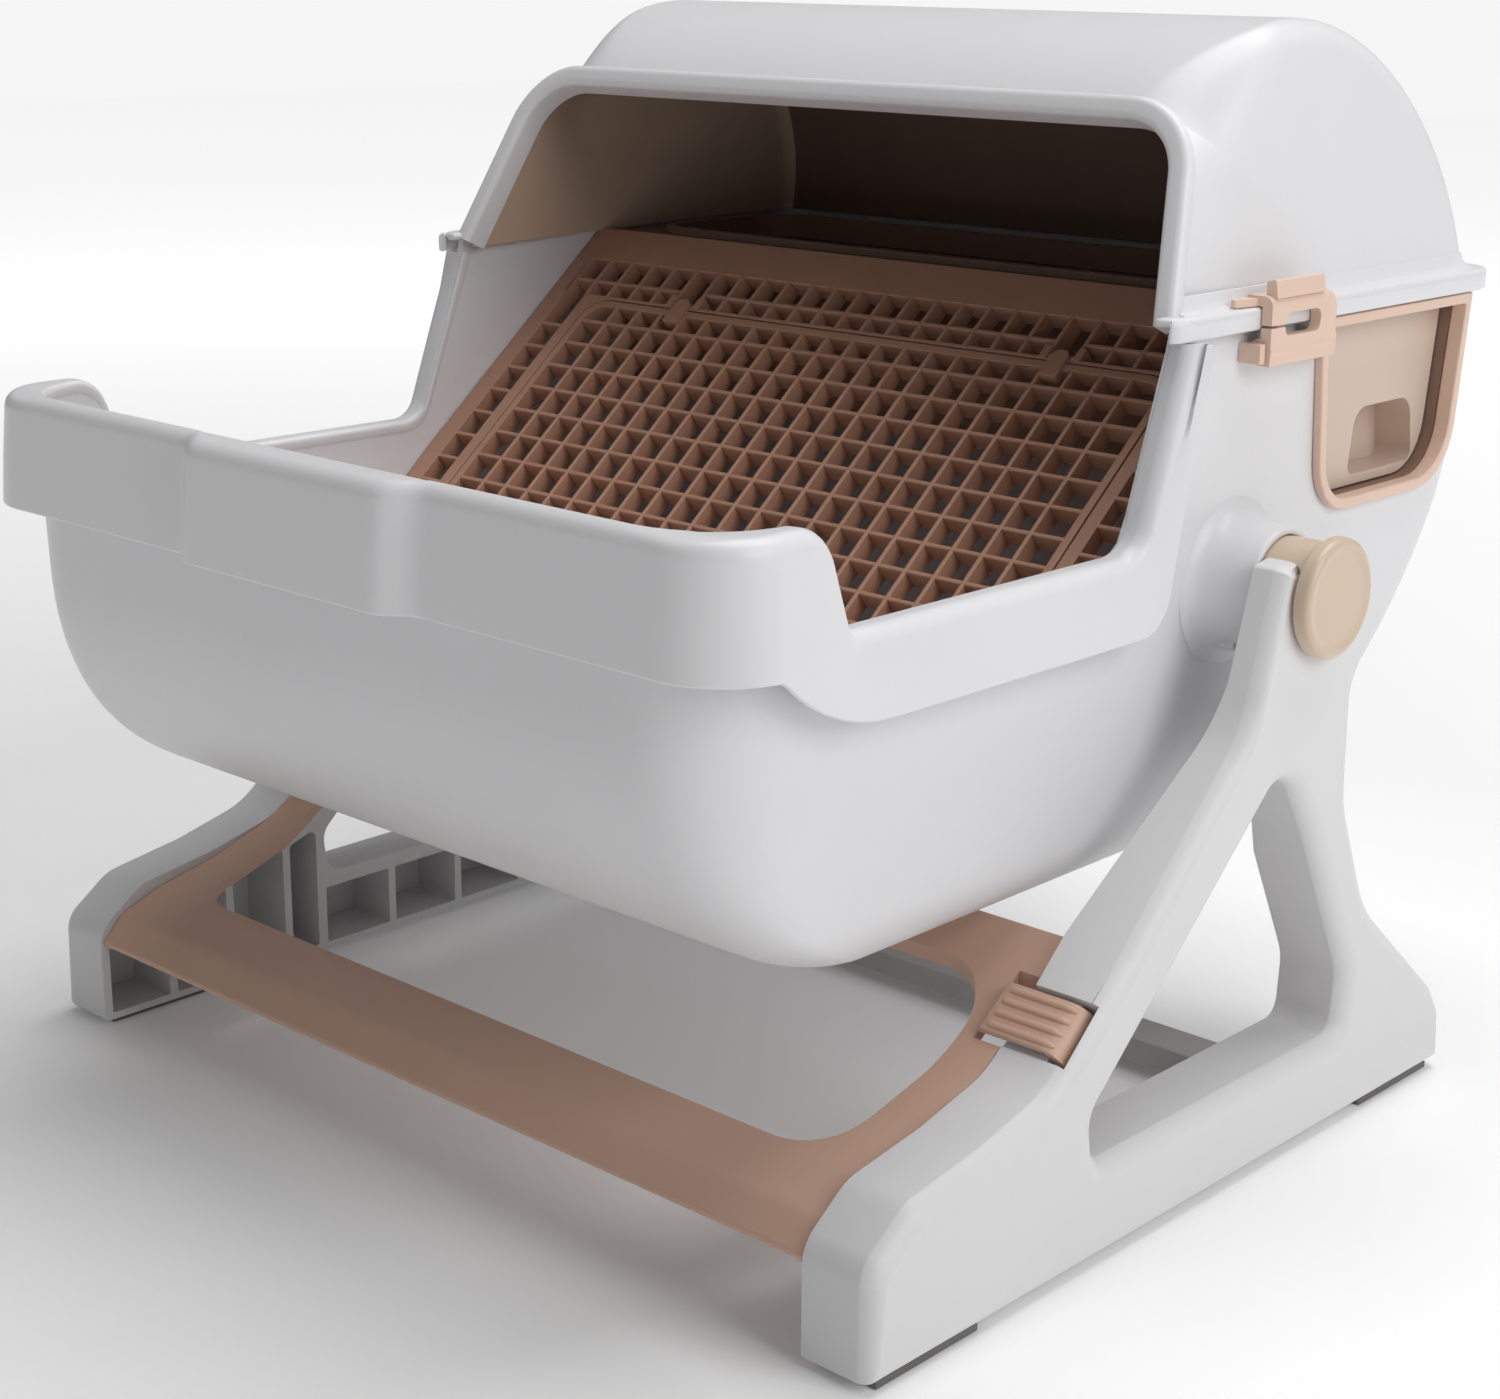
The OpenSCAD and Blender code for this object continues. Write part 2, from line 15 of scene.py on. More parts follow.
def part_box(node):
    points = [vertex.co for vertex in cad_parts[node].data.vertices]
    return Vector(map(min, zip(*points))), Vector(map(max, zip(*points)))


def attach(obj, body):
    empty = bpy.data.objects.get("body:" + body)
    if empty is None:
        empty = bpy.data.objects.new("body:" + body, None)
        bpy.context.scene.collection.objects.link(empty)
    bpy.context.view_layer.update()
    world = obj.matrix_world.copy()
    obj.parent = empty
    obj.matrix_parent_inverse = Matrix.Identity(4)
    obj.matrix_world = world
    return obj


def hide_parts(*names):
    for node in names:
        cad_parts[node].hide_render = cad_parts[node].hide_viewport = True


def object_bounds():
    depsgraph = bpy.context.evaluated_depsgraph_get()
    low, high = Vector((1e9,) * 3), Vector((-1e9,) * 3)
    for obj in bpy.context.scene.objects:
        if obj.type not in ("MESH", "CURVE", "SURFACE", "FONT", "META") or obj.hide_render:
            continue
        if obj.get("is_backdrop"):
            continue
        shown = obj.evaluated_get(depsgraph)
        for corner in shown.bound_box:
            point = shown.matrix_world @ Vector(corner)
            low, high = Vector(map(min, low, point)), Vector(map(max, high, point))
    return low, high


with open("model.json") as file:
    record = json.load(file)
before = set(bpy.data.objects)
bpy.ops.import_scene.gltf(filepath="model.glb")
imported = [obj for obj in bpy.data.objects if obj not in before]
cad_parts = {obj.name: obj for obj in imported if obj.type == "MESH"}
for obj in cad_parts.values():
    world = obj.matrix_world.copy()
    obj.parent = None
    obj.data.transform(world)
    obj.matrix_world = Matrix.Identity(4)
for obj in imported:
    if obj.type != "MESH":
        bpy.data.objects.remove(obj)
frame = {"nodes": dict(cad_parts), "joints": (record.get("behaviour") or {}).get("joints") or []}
CAD_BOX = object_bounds()

MM = 0.001
FEET_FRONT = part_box("side_support_right")[0].y
TO_ROW = Matrix.Translation((0, FEET_FRONT, 0)) @ Matrix.Scale(MM, 4)
JOINTS = {joint["name"]: joint for joint in frame["joints"]}

# ---- driving dimensions -----------------------------------------------------------

PIVOT = Vector(((0, (JOINTS["drum_roll"]["pos_m"][1] - FEET_FRONT) / MM,
                 JOINTS["drum_roll"]["pos_m"][2] / MM)))
PIN_R = 20.0
DISC_R = 22.8
DISC_BACK, DISC_FRONT = 236.0, 243.0

WALL = 3.0
HALF_W, HALF_W_LOW = 195.0, 188.0
LOW_Z, EDGE_Z, SEAM_Z = 118.0, 235.0, 327.0
FRONT_Y, BACK_Y = -34.0, 429.0
FRONT_R, BACK_R, SIDE_R = 98.0, 187.0, 25.0
FRONT_CORNER, RIM_CORNER, BACK_CORNER = 36.0, 20.0, 15.0
SIDE_TOP_Z, LIP_TOP_Z, LIP_LOW_Z = 249.3, 286.0, 241.0
FLANGE_LOW_Z = 321.5
RIM_OUT, LIP_OUT, GRIP_OUT = 12.8, 7.8, 16.2
RIM_FLARE = 3.0
GRIP_HALF_W, GRIP_RAMP_END = 52.0, 67.0

BARREL_Y, BARREL_Z, BARREL_R = 318.0, 326.0, 105.0
HOOD_HALF_W, HOOD_DRAFT = 192.0, 0.18
BARREL_END = 137.0
ENTRANCE_FOOT = (201.0, 327.0)
ENTRANCE_LEAN = math.radians(24.3)
ENTRANCE_LOW, ENTRANCE_HIGH, ENTRANCE_H = 186.0, 169.0, 76.5
ENTRANCE_CORNER = 26.0
FLANGE_HALF_W, FLANGE_FRONT, FLANGE_BACK = 201.4, 197.0, 434.0

STAND_X, STAND_D, PAD_H = 235.0, 371.0, 3.0
SUPPORT_ROUND = 9.0
LATCH_FOOT = (112.0, 88.0)

SIEVE_TOP = (295.1, 331.0)
SIEVE_ANGLE = math.radians(39.7)
SIEVE_T, BAR_W, CELL = 8.0, 2.0, 14.0
FLAP_TOP, FLAP_LEN, FLAP_HALF_W, HINGE_X = 51.0, 229.0, 161.5, 105.0
FLAP_CELL = 14.27

# Vertices closer than this many metres are one; edges sharper than this many degrees are rounded
WELD = 2e-6
SHARP_DEGREES = 34

# ---- outlines ---------------------------------------------------------------------

def rounded(corners, steps=8, closed=True):
    """Outline through corners (x, y, radius), each rounded by an arc of its radius."""
    count = len(corners)
    out = []
    for i, (x, y, r) in enumerate(corners):
        ends = not closed and i in (0, count - 1)
        if r <= 0 or ends:
            out.append((x, y))
            continue
        b = Vector((x, y))
        u = (Vector(corners[i - 1][:2]) - b).normalized()
        w = (Vector(corners[(i + 1) % count][:2]) - b).normalized()
        half = math.acos(max(-1, min(1, u.dot(w)))) / 2
        centre = b + (u + w).normalized() * r / math.sin(half)
        p = b + u * r / math.tan(half) - centre
        q = b + w * r / math.tan(half) - centre
        a0 = math.atan2(p.y, p.x)
        turn = math.atan2(p.x * q.y - p.y * q.x, p.dot(q))
        for k in range(steps + 1):
            a = a0 + turn * k / steps
            out.append((centre.x + r * math.cos(a), centre.y + r * math.sin(a)))
    return out


def mirrored(half):
    """Right half of an outline of corners, completed by its mirror image."""
    return list(half) + [(-x, y, r) for x, y, r in reversed(half)]


def smoothstep(x, low, high):
    t = np.clip((x - low) / (high - low), 0, 1)
    return t * t * (3 - 2 * t)


# ---- meshes -----------------------------------------------------------------------

class Shape:
    """Vertices in design millimetres and faces, gathered from several closed parts."""

    def __init__(self):
        self.verts = []
        self.faces = []
        self.slots = []

    def add(self, verts, faces, slot=0):
        base = len(self.verts)
        self.verts += [tuple(float(c) for c in v) for v in verts]
        self.faces += [[base + i for i in face] for face in faces]
        self.slots += [slot] * len(faces)

    def grid(self, rows, wrap_columns=False, wrap_rows=False, caps=False, slot=0):
        """A sheet of quads through equally long rows of points."""
        rows = np.asarray(rows, float)
        n, m = rows.shape[:2]
        faces = []
        for i in range(n if wrap_rows else n - 1):
            for j in range(m if wrap_columns else m - 1):
                i2, j2 = (i + 1) % n, (j + 1) % m
                faces.append([i * m + j, i * m + j2, i2 * m + j2, i2 * m + j])
        if caps:
            faces.append(list(range(m - 1, -1, -1)))
            faces.append([(n - 1) * m + j for j in range(m)])
        self.add(rows.reshape(-1, 3), faces, slot)

    def lathe(self, profile, centre, steps=96):
        """A closed turned part about the x axis through centre: profile holds (x, radius)."""
        ring = [(2 * math.pi * k / steps) for k in range(steps)]
        rows = [[(x, centre.y + r * math.cos(a), centre.z + r * math.sin(a)) for a in ring]
                for x, r in profile]
        self.grid(rows, wrap_columns=True, caps=True)

    def mirror_copy(self):
        """Adds the left-hand copy of everything so far."""
        verts = [(-x, y, z) for x, y, z in self.verts]
        faces = [list(reversed(face)) for face in self.faces]
        slots = list(self.slots)
        base = len(self.verts)
        self.verts += verts
        self.faces += [[base + i for i in face] for face in faces]
        self.slots += slots


def plate_part(shape, outline, low, high, edge, plane, holes=()):
    """Adds a flat plate with rounded edges: loops in the plane, thickness along its normal."""
    curve = bpy.data.curves.new("plate", "CURVE")
    curve.dimensions = "2D"
    curve.fill_mode = "BOTH"
    curve.extrude = (high - low) / 2 - edge
    curve.bevel_depth = edge
    curve.bevel_resolution = 3
    curve.offset = -edge
    for loop in [outline, *holes]:
        spline = curve.splines.new("POLY")
        spline.points.add(len(loop) - 1)
        for point, (u, v) in zip(spline.points, loop):
            point.co = (u, v, 0, 1)
        spline.use_cyclic_u = True
    holder = bpy.data.objects.new("plate", curve)
    bpy.context.scene.collection.objects.link(holder)
    depsgraph = bpy.context.evaluated_depsgraph_get()
    mesh = bpy.data.meshes.new_from_object(holder.evaluated_get(depsgraph))
    mid = (low + high) / 2
    place = {"xy": lambda u, v, w: (u, v, mid + w),
             "yz": lambda u, v, w: (mid + w, u, v)}[plane]
    shape.add([place(*v.co) for v in mesh.vertices], [list(p.vertices) for p in mesh.polygons])
    bpy.data.objects.remove(holder)
    bpy.data.curves.remove(curve)
    bpy.data.meshes.remove(mesh)


def finish_mesh(mesh, angle):
    """Welds and cleans the mesh, faces it outwards and keeps edges past the angle sharp."""
    work = bmesh.new()
    work.from_mesh(mesh)
    bmesh.ops.remove_doubles(work, verts=work.verts, dist=WELD)
    bmesh.ops.dissolve_degenerate(work, edges=work.edges, dist=1e-7)
    bmesh.ops.recalc_face_normals(work, faces=work.faces)
    work.to_mesh(mesh)
    work.free()
    mesh.shade_smooth()
    mesh.set_sharp_from_angle(angle=math.radians(angle))
    mesh.update()


def apply_modifiers(piece):
    """Replaces the piece's mesh by what its modifiers make of it."""
    depsgraph = bpy.context.evaluated_depsgraph_get()
    made = bpy.data.meshes.new_from_object(piece.evaluated_get(depsgraph))
    piece.modifiers.clear()
    old = piece.data
    piece.data = made
    bpy.data.meshes.remove(old)


def even_normals(piece):
    """Flat faces keep flat shading next to their rounded edges."""
    weighted = piece.modifiers.new("even", "WEIGHTED_NORMAL")
    weighted.keep_sharp = True
    apply_modifiers(piece)


def place(piece, body, nodes, slot, materials):
    for material in materials:
        piece.data.materials.append(material)
    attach(piece, body)
    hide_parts(*nodes)


def piece_from(shape, name, body, nodes, slot, materials, angle=38):
    """A visible piece from a shape in design millimetres."""
    mesh = bpy.data.meshes.new(name)
    mesh.from_pydata(shape.verts, [], shape.faces)
    mesh.transform(TO_ROW)
    for polygon, index in zip(mesh.polygons, shape.slots):
        polygon.material_index = index
    piece = bpy.data.objects.new(name, mesh)
    bpy.context.scene.collection.objects.link(piece)
    finish_mesh(mesh, angle)
    even_normals(piece)
    place(piece, body, nodes, slot, materials)


def soft_mesh(node, width, segments=3, plain_at=None):
    """Mesh of a CAD node with its sharp edges rounded by width, in millimetres.

    Edges that lie on the side face |x| = plain_at are left sharp."""
    mesh = frame["nodes"][node].data.copy()
    mesh.materials.clear()
    work = bmesh.new()
    work.from_mesh(mesh)
    bmesh.ops.remove_doubles(work, verts=work.verts, dist=WELD)
    bmesh.ops.dissolve_limit(work, angle_limit=math.radians(0.6), verts=work.verts,
                             edges=work.edges)
    weights = work.edges.layers.float.new("bevel_weight_edge")
    for edge in work.edges:
        sharp = (len(edge.link_faces) == 2
                 and edge.calc_face_angle(0) > math.radians(SHARP_DEGREES))
        plain = plain_at and all(abs(abs(v.co.x) - plain_at * MM) < 0.2 * MM for v in edge.verts)
        edge[weights] = 1.0 if sharp and not plain else 0.0
    work.to_mesh(mesh)
    work.free()
    piece = bpy.data.objects.new(node + "_moulded", mesh)
    bpy.context.scene.collection.objects.link(piece)
    bevel = piece.modifiers.new("edge", "BEVEL")
    bevel.width = width * MM
    bevel.segments = segments
    bevel.limit_method = "WEIGHT"
    bevel.miter_outer = "MITER_ARC"
    bevel.use_clamp_overlap = True
    bevel.loop_slide = True
    apply_modifiers(piece)
    return piece


def softened(node, body, slot, material, width, segments=3):
    """A piece that stands for a CAD node, with its sharp edges rounded by width."""
    piece = soft_mesh(node, width, segments)
    finish_mesh(piece.data, 44)
    even_normals(piece)
    place(piece, body, [node], slot, [material])


def tool_from(shape):
    """A cutting solid from a shape in design millimetres."""
    mesh = bpy.data.meshes.new("tool")
    mesh.from_pydata(shape.verts, [], shape.faces)
    mesh.transform(TO_ROW)
    tool = bpy.data.objects.new("tool", mesh)
    bpy.context.scene.collection.objects.link(tool)
    finish_mesh(mesh, 30)
    return tool


def carve(piece, shape, operation):
    """Applies a boolean with a throwaway tool."""
    tool = tool_from(shape)
    step = piece.modifiers.new("carve", "BOOLEAN")
    step.operation = operation
    step.solver = "EXACT"
    step.object = tool
    apply_modifiers(piece)
    mesh = tool.data
    bpy.data.objects.remove(tool)
    bpy.data.meshes.remove(mesh)


# ---- materials --------------------------------------------------------------------

def plastic(name, colour, roughness, variation=0.03, grain=0.25, grain_size=0.7, coat=0.0,
            scatter=0.0):
    """Moulded plastic: faint flow mottling, uneven gloss and a fine moulded grain."""
    material = bpy.data.materials.new(name)
    material.use_nodes = True
    nodes, links = material.node_tree.nodes, material.node_tree.links
    shader = nodes["Principled BSDF"]
    shader.inputs["Specular IOR Level"].default_value = 0.45
    shader.inputs["Coat Weight"].default_value = coat
    shader.inputs["Coat Roughness"].default_value = 0.2
    if scatter:
        shader.inputs["Subsurface Weight"].default_value = scatter
        shader.inputs["Subsurface Radius"].default_value = (0.006, 0.005, 0.004)
        shader.inputs["Subsurface Scale"].default_value = 0.3
    spot = nodes.new("ShaderNodeTexCoord")

    def noise(scale, detail, rough):
        node = nodes.new("ShaderNodeTexNoise")
        node.inputs["Scale"].default_value = scale
        node.inputs["Detail"].default_value = detail
        node.inputs["Roughness"].default_value = rough
        links.new(spot.outputs["Object"], node.inputs["Vector"])
        return node.outputs["Fac"]

    ramp = nodes.new("ShaderNodeValToRGB")
    ramp.color_ramp.elements[0].position = 0.3
    ramp.color_ramp.elements[1].position = 0.7
    ramp.color_ramp.elements[0].color = (*[c * (1 - variation) for c in colour], 1)
    ramp.color_ramp.elements[1].color = (*[min(1, c * (1 + variation)) for c in colour], 1)
    links.new(noise(14, 4, 0.55), ramp.inputs["Fac"])
    links.new(ramp.outputs["Color"], shader.inputs["Base Color"])

    gloss = nodes.new("ShaderNodeMapRange")
    gloss.inputs["To Min"].default_value = roughness * 0.86
    gloss.inputs["To Max"].default_value = roughness * 1.16
    links.new(noise(45, 5, 0.6), gloss.inputs["Value"])
    links.new(gloss.outputs["Result"], shader.inputs["Roughness"])

    bump = nodes.new("ShaderNodeBump")
    bump.inputs["Strength"].default_value = grain
    bump.inputs["Distance"].default_value = 0.00006
    links.new(noise(1000 / grain_size, 3, 0.5), bump.inputs["Height"])
    links.new(bump.outputs["Normal"], shader.inputs["Normal"])
    return material


WHITE = plastic("white_plastic", (0.74, 0.735, 0.75), 0.34, variation=0.012, grain=0.12,
                scatter=0.06)
SUPPORT_WHITE = plastic("support_white", (0.72, 0.715, 0.72), 0.42, variation=0.012, grain=0.3,
                        grain_size=0.9)
# Inside faces of the hood's side walls: the white plastic darkened and warmed to tan, painted shade
# with a warm painted reflection.
HOOD_SIDE_PAINTED_SHADE = plastic("hood_side_painted_shade", (0.60, 0.45, 0.34), 0.5, variation=0.03, grain=0.2)
# Inside face of the hood's barrel: the white plastic painted a near-black brown, painted shade.
HOOD_BARREL_PAINTED_SHADE = plastic("hood_barrel_painted_shade", (0.19, 0.13, 0.10), 0.42, variation=0.08, grain=0.2)
# Frame and latch beige: the beige of LIGHT_BEIGE darkened, painted shade for their place under the
# tub.
BEIGE_PAINTED_SHADE = plastic("beige_painted_shade", (0.62, 0.40, 0.30), 0.4, variation=0.025, grain=0.3)
LIGHT_BEIGE = plastic("light_beige", (0.76, 0.555, 0.45), 0.42, variation=0.025, grain=0.3)
TAN = plastic("tan_plastic", (0.64, 0.515, 0.43), 0.36, variation=0.025, grain=0.2, coat=0.1)
KNOB = plastic("knob_plastic", (0.62, 0.49, 0.37), 0.3, variation=0.02, grain=0.15, coat=0.15)
BROWN = plastic("sieve_plastic", (0.45, 0.245, 0.165), 0.42, variation=0.05, grain=0.35)
CHUTE = plastic("chute_plastic", (0.25, 0.155, 0.115), 0.45, variation=0.05, grain=0.3)
# Rear crossbar: white plastic greyed down, painted shade for its place under the drum.
CROSSBAR_PAINTED_SHADE = plastic("crossbar_painted_shade", (0.42, 0.40, 0.39), 0.5, variation=0.03, grain=0.3)
PAD = plastic("pad_rubber", (0.16, 0.155, 0.15), 0.8, variation=0.06, grain=0.8, grain_size=1.4)


def steel():
    material = plastic("pin_steel", (0.5, 0.5, 0.51), 0.3, variation=0.04, grain=0.2)
    material.node_tree.nodes["Principled BSDF"].inputs["Metallic"].default_value = 1.0
    return material


STEEL = steel()


# ---- tub --------------------------------------------------------------------------

# Top edge of the side walls, seen from the side: high lip, low entrance side, rise to the seam
RIM_TOP = rounded([(-60, LIP_TOP_Z, 0), (8.5, LIP_TOP_Z, 14), (21, SIDE_TOP_Z, 3),
                   (177, SIDE_TOP_Z - 0.8, 14), (203, FLANGE_LOW_Z - 0.3, 0)],
                  steps=12, closed=False)
# Lower edge of the rolled rim
RIM_BOTTOM = rounded([(-60, LIP_LOW_Z, 0), (-15.4, LIP_LOW_Z, 1.5), (8.1, 219.2, 74), (60, 219, 0),
                      (187.5, 218.6, 16), (210, FLANGE_LOW_Z - 0.3, 0)], steps=14, closed=False)
RIM_CORNER_START = HALF_W - RIM_CORNER
RIM_CORNER_END = RIM_CORNER_START + RIM_CORNER * math.pi / 2
SIDE_OFFSET = RIM_CORNER_END - (FRONT_Y + RIM_CORNER)


def tub_columns():
    """Perimeter stations of the right half, front to rear: (stretch, share along it)."""
    depths = [2, 4, 6, 8, 10, 12, 14, 16, 18, 20, 22, 25, 30, 40, 70, 100, 130, 150, 160, 164, 167,
              170, 173, 176, 179, 182, 185, 188, 191, 194, 197, 200, 202.5, 204.5, 210, 220, 235,
              260, 290, 298, 320, 350, 380, 400, 414]
    span = depths[-1] - depths[0]
    out = [(0, k / 10) for k in range(10)]
    out += [(1, k / 12) for k in range(12)]
    out += [(2, (y - depths[0]) / span) for y in depths[:-1]]
    out += [(3, k / 10) for k in range(10)]
    out += [(4, k / 10) for k in range(11)]
    return np.array([c[0] for c in out]), np.array([c[1] for c in out])


def tub_points(z, stretch, share, inset):
    """Points of the tub's wall at heights z, drawn in by inset, for each perimeter station."""
    wall = np.where(z >= EDGE_Z, HALF_W,
                    HALF_W_LOW + (HALF_W - HALF_W_LOW) * (z - LOW_Z) / (EDGE_Z - LOW_Z))

    def arc_inset(radius):
        drop = np.clip(LOW_Z + radius - z, 0, radius - inset)
        return radius - np.sqrt(np.maximum((radius - inset) ** 2 - drop ** 2, 0))

    half = wall - arc_inset(SIDE_R)
    front = FRONT_Y + arc_inset(FRONT_R)
    back = BACK_Y - arc_inset(BACK_R)
    grow = smoothstep(z, LOW_Z, LOW_Z + FRONT_R)
    rf = (FRONT_CORNER - inset) * (0.62 + 0.38 * grow)
    rb = (BACK_CORNER - inset) * (1.5 - 0.5 * smoothstep(z, LOW_Z, SEAM_Z))
    turn = share * math.pi / 2
    x = np.select([stretch == 0, stretch == 1, stretch == 2, stretch == 3, stretch == 4],
                  [share * (half - rf), half - rf + rf * np.sin(turn), half,
                   half - rb + rb * np.cos(turn), (1 - share) * (half - rb)])
    y = np.select([stretch == 0, stretch == 1, stretch == 2, stretch == 3, stretch == 4],
                  [front + 0 * share, front + rf - rf * np.cos(turn),
                   front + rf + share * (back - rb - front - rf),
                   back - rb + rb * np.sin(turn), back + 0 * share])
    return np.stack([x, y, z + 0 * x], axis=-1)


def tub_top(stretch, share):
    """Height of the wall's top at each station, just inside the rolled rim."""
    path = np.array(RIM_TOP)
    z = np.where(stretch < 2, LIP_TOP_Z - 1.5, SEAM_Z)
    for _ in range(30):
        y = tub_points(z, stretch, share, 0)[:, 1]
        low = np.where(y < 203, np.interp(y, path[:, 0], path[:, 1]) - 1.5, SEAM_Z)
        z = np.where(stretch == 2, 0.5 * z + 0.5 * low, z)
    return z


def full_ring(points):
    """Completes a right-half row of points by its mirror image."""
    left = points[-2:0:-1] * np.array([-1, 1, 1])
    return np.concatenate([points, left])


def tub_shell(shape):
    stretch, share = tub_columns()
    top = tub_top(stretch, share)
    rows = {}
    for inset in (0.0, WALL):
        start = LOW_Z + inset
        rows[inset] = []
        for t in np.linspace(0, 1, 26):
            z = np.full(len(share), start + (EDGE_Z - start) * t ** 1.8)
            rows[inset].append(full_ring(tub_points(z, stretch, share, inset)))
        for t in np.linspace(0, 1, 9)[1:]:
            z = EDGE_Z + (top - EDGE_Z) * t
            rows[inset].append(full_ring(tub_points(z, stretch, share, inset)))
    shell = rows[0.0] + rows[WALL][::-1]
    shape.grid(shell, wrap_columns=True, caps=True)


def corner_plan(along, out, radius, start, end):
    """(x, y) along a rounded corner of the wall, and outwards of it."""
    turn = np.clip((along - start) / (end - start), 0, 1) * math.pi / 2
    before, after = np.minimum(along - start, 0), np.maximum(along - end, 0)
    x = HALF_W - radius + (radius + out) * np.sin(turn) + before
    y = FRONT_Y + radius - (radius + out) * np.cos(turn) + after
    return np.stack([x, y], axis=-1)


def rim_plan(along, out):
    """(x, y) at a distance along the rim from the front centre: wall inside, rim outside."""
    wall = corner_plan(along, out, FRONT_CORNER, HALF_W - FRONT_CORNER,
                       SIDE_OFFSET + FRONT_Y + FRONT_CORNER)
    rim = corner_plan(along, out, RIM_CORNER, RIM_CORNER_START, RIM_CORNER_END)
    share = smoothstep(out, -1.0, 3.5)[:, None]
    mixed = wall * (1 - share) + rim * share
    return mixed[:, 0], mixed[:, 1]


def along_path(path, keys, counts):
    """Points along a path between the places nearest to the key points."""
    path = np.array(path)
    length = np.concatenate([[0], np.cumsum(np.linalg.norm(np.diff(path, axis=0), axis=1))])
    fine = np.linspace(0, length[-1], 4000)
    dense = np.stack([np.interp(fine, length, path[:, k]) for k in (0, 1)], axis=1)
    marks = [fine[np.argmin(np.linalg.norm(dense - np.array(key), axis=1))] for key in keys]
    places = [marks[0]]
    for a, b, n in zip(marks[:-1], marks[1:], counts):
        places += list(np.linspace(a, b, n + 1)[1:])
    return np.stack([np.interp(places, length, path[:, k]) for k in (0, 1)], axis=1)


def rim_stations():
    """Matched points on the rim's top and lower edges, from the centre: (along, height)."""
    front = [0, 15, 30, 42, 48, 52, 56, 60, 64, 68, 72, 78, 90, 110, 130, 150, 160, 168]
    corner = [RIM_CORNER_START + (RIM_CORNER_END - RIM_CORNER_START) * k / 14 for k in range(13)]
    start = np.array([[a, LIP_TOP_Z] for a in front + corner])
    start_low = np.array([[a, LIP_LOW_Z] for a in front + corner])
    counts = [4, 8, 6, 5, 8, 10, 8, 6, 14]
    top = along_path(RIM_TOP, [(-15, LIP_TOP_Z), (-9, LIP_TOP_Z), (5, 283.5), (14, 270),
                               (19, 255), (27, SIDE_TOP_Z), (150, 248.6), (168, 248.6),
                               (181, 259), (203, 321)], counts)
    low = along_path(RIM_BOTTOM, [(-17, LIP_LOW_Z), (-13.5, 239.5), (-5, 231.5), (3, 226.5),
                                  (12, 223), (30, 219.8), (150, 218.7), (174, 218.6),
                                  (190, 230), (210, 321)], counts)
    top[:, 0] += SIDE_OFFSET
    low[:, 0] += SIDE_OFFSET
    return np.concatenate([start, top]), np.concatenate([start_low, low])


def rim_section(depth, length, roll):
    """Closed section of the rolled rim: (distance down from the crest, distance out of the wall)."""
    high = depth - RIM_FLARE
    out = [(7.0, -WALL + 0.5), (5.5, -WALL - 0.1), (4.0, -WALL - 0.35)]
    for k in range(6):
        a = math.pi / 2 * k / 5
        out.append((2.6 - 2.4 * math.sin(a), -WALL - 0.4 + 2.6 - 2.6 * math.cos(a)))
    for k in range(9):
        a = math.pi / 2 * k / 8
        out.append((roll - roll * math.cos(a), high - roll + roll * math.sin(a)))
    out += [(length * 0.55, depth - RIM_FLARE * 0.45), (length - 1.0, depth),
            (length - 0.3, depth - 0.3), (length, depth - 1.0), (length, depth - 2.0),
            (length - 0.8, depth - 2.8), (length * 0.55, high - 1.2),
            (roll + 1.5, high - 2.8), (roll * 0.7 + 2, high - 4.4), (3.4, 0.2)]
    return out


def tub_rim(shape):
    top, low = rim_stations()
    half = []
    for (a0, z0), (a1, z1) in zip(top, low):
        a = (a0 + a1) / 2
        depth = LIP_OUT + (GRIP_OUT - LIP_OUT) * (1 - smoothstep(a, GRIP_HALF_W, GRIP_RAMP_END))
        depth += (RIM_OUT - LIP_OUT) * smoothstep(a, RIM_CORNER_START - 4, RIM_CORNER_END + 2)
        length = math.hypot(a1 - a0, z1 - z0)
        roll = min(7.0, depth - RIM_FLARE + 1.5)
        down = np.array([[(a1 - a0) / length, (z1 - z0) / length]])
        section = np.array(rim_section(depth, length, roll))
        place_at = np.array([[a0, z0]]) + section[:, :1] * down
        x, y = rim_plan(place_at[:, 0], section[:, 1])
        half.append(np.stack([x, y, place_at[:, 1]], axis=1))
    left = [row * np.array([-1, 1, 1]) for row in half[:0:-1]]
    shape.grid(left + half, wrap_columns=True, caps=True)


def boss(shape):
    """Tapered fairing with a plain collar around the pivot pin, on a squared-off lower block."""
    face = 218.4
    profile = [(HALF_W - WALL - 1.5, PIN_R + 0.2), (HALF_W - WALL - 1.5, 33), (HALF_W - 0.6, 33),
               (HALF_W + 0.2, 31), (HALF_W + 1.4, 29), (HALF_W + 3.4, 27.2), (HALF_W + 6.4, 25.8),
               (HALF_W + 10.5, 24.7), (HALF_W + 15.5, 23.9), (HALF_W + 19.5, 23.4),
               (face - 1.6, 23.1), (face - 0.7, 22.9), (face - 0.15, 22.5), (face, 21.8),
               (face, PIN_R + 1.2), (face - 0.3, PIN_R + 0.5), (face - 1.2, PIN_R + 0.2)]
    ring = [2 * math.pi * k / 96 for k in range(96)]
    rows = [[(x, PIVOT.y + r * math.cos(a), PIVOT.z + r * math.sin(a)) for a in ring]
            for x, r in profile]
    shape.grid(rows, wrap_columns=True, wrap_rows=True)
    block = rounded([(PIVOT.y - 14, PIVOT.z - 24, 1.5), (PIVOT.y + 14, PIVOT.z - 24, 1.5),
                     (PIVOT.y + 14, PIVOT.z - 12, 2), (PIVOT.y - 14, PIVOT.z - 12, 2)])
    plate_part(shape, block, HALF_W - 4, HALF_W + 12, 1.0, "yz")


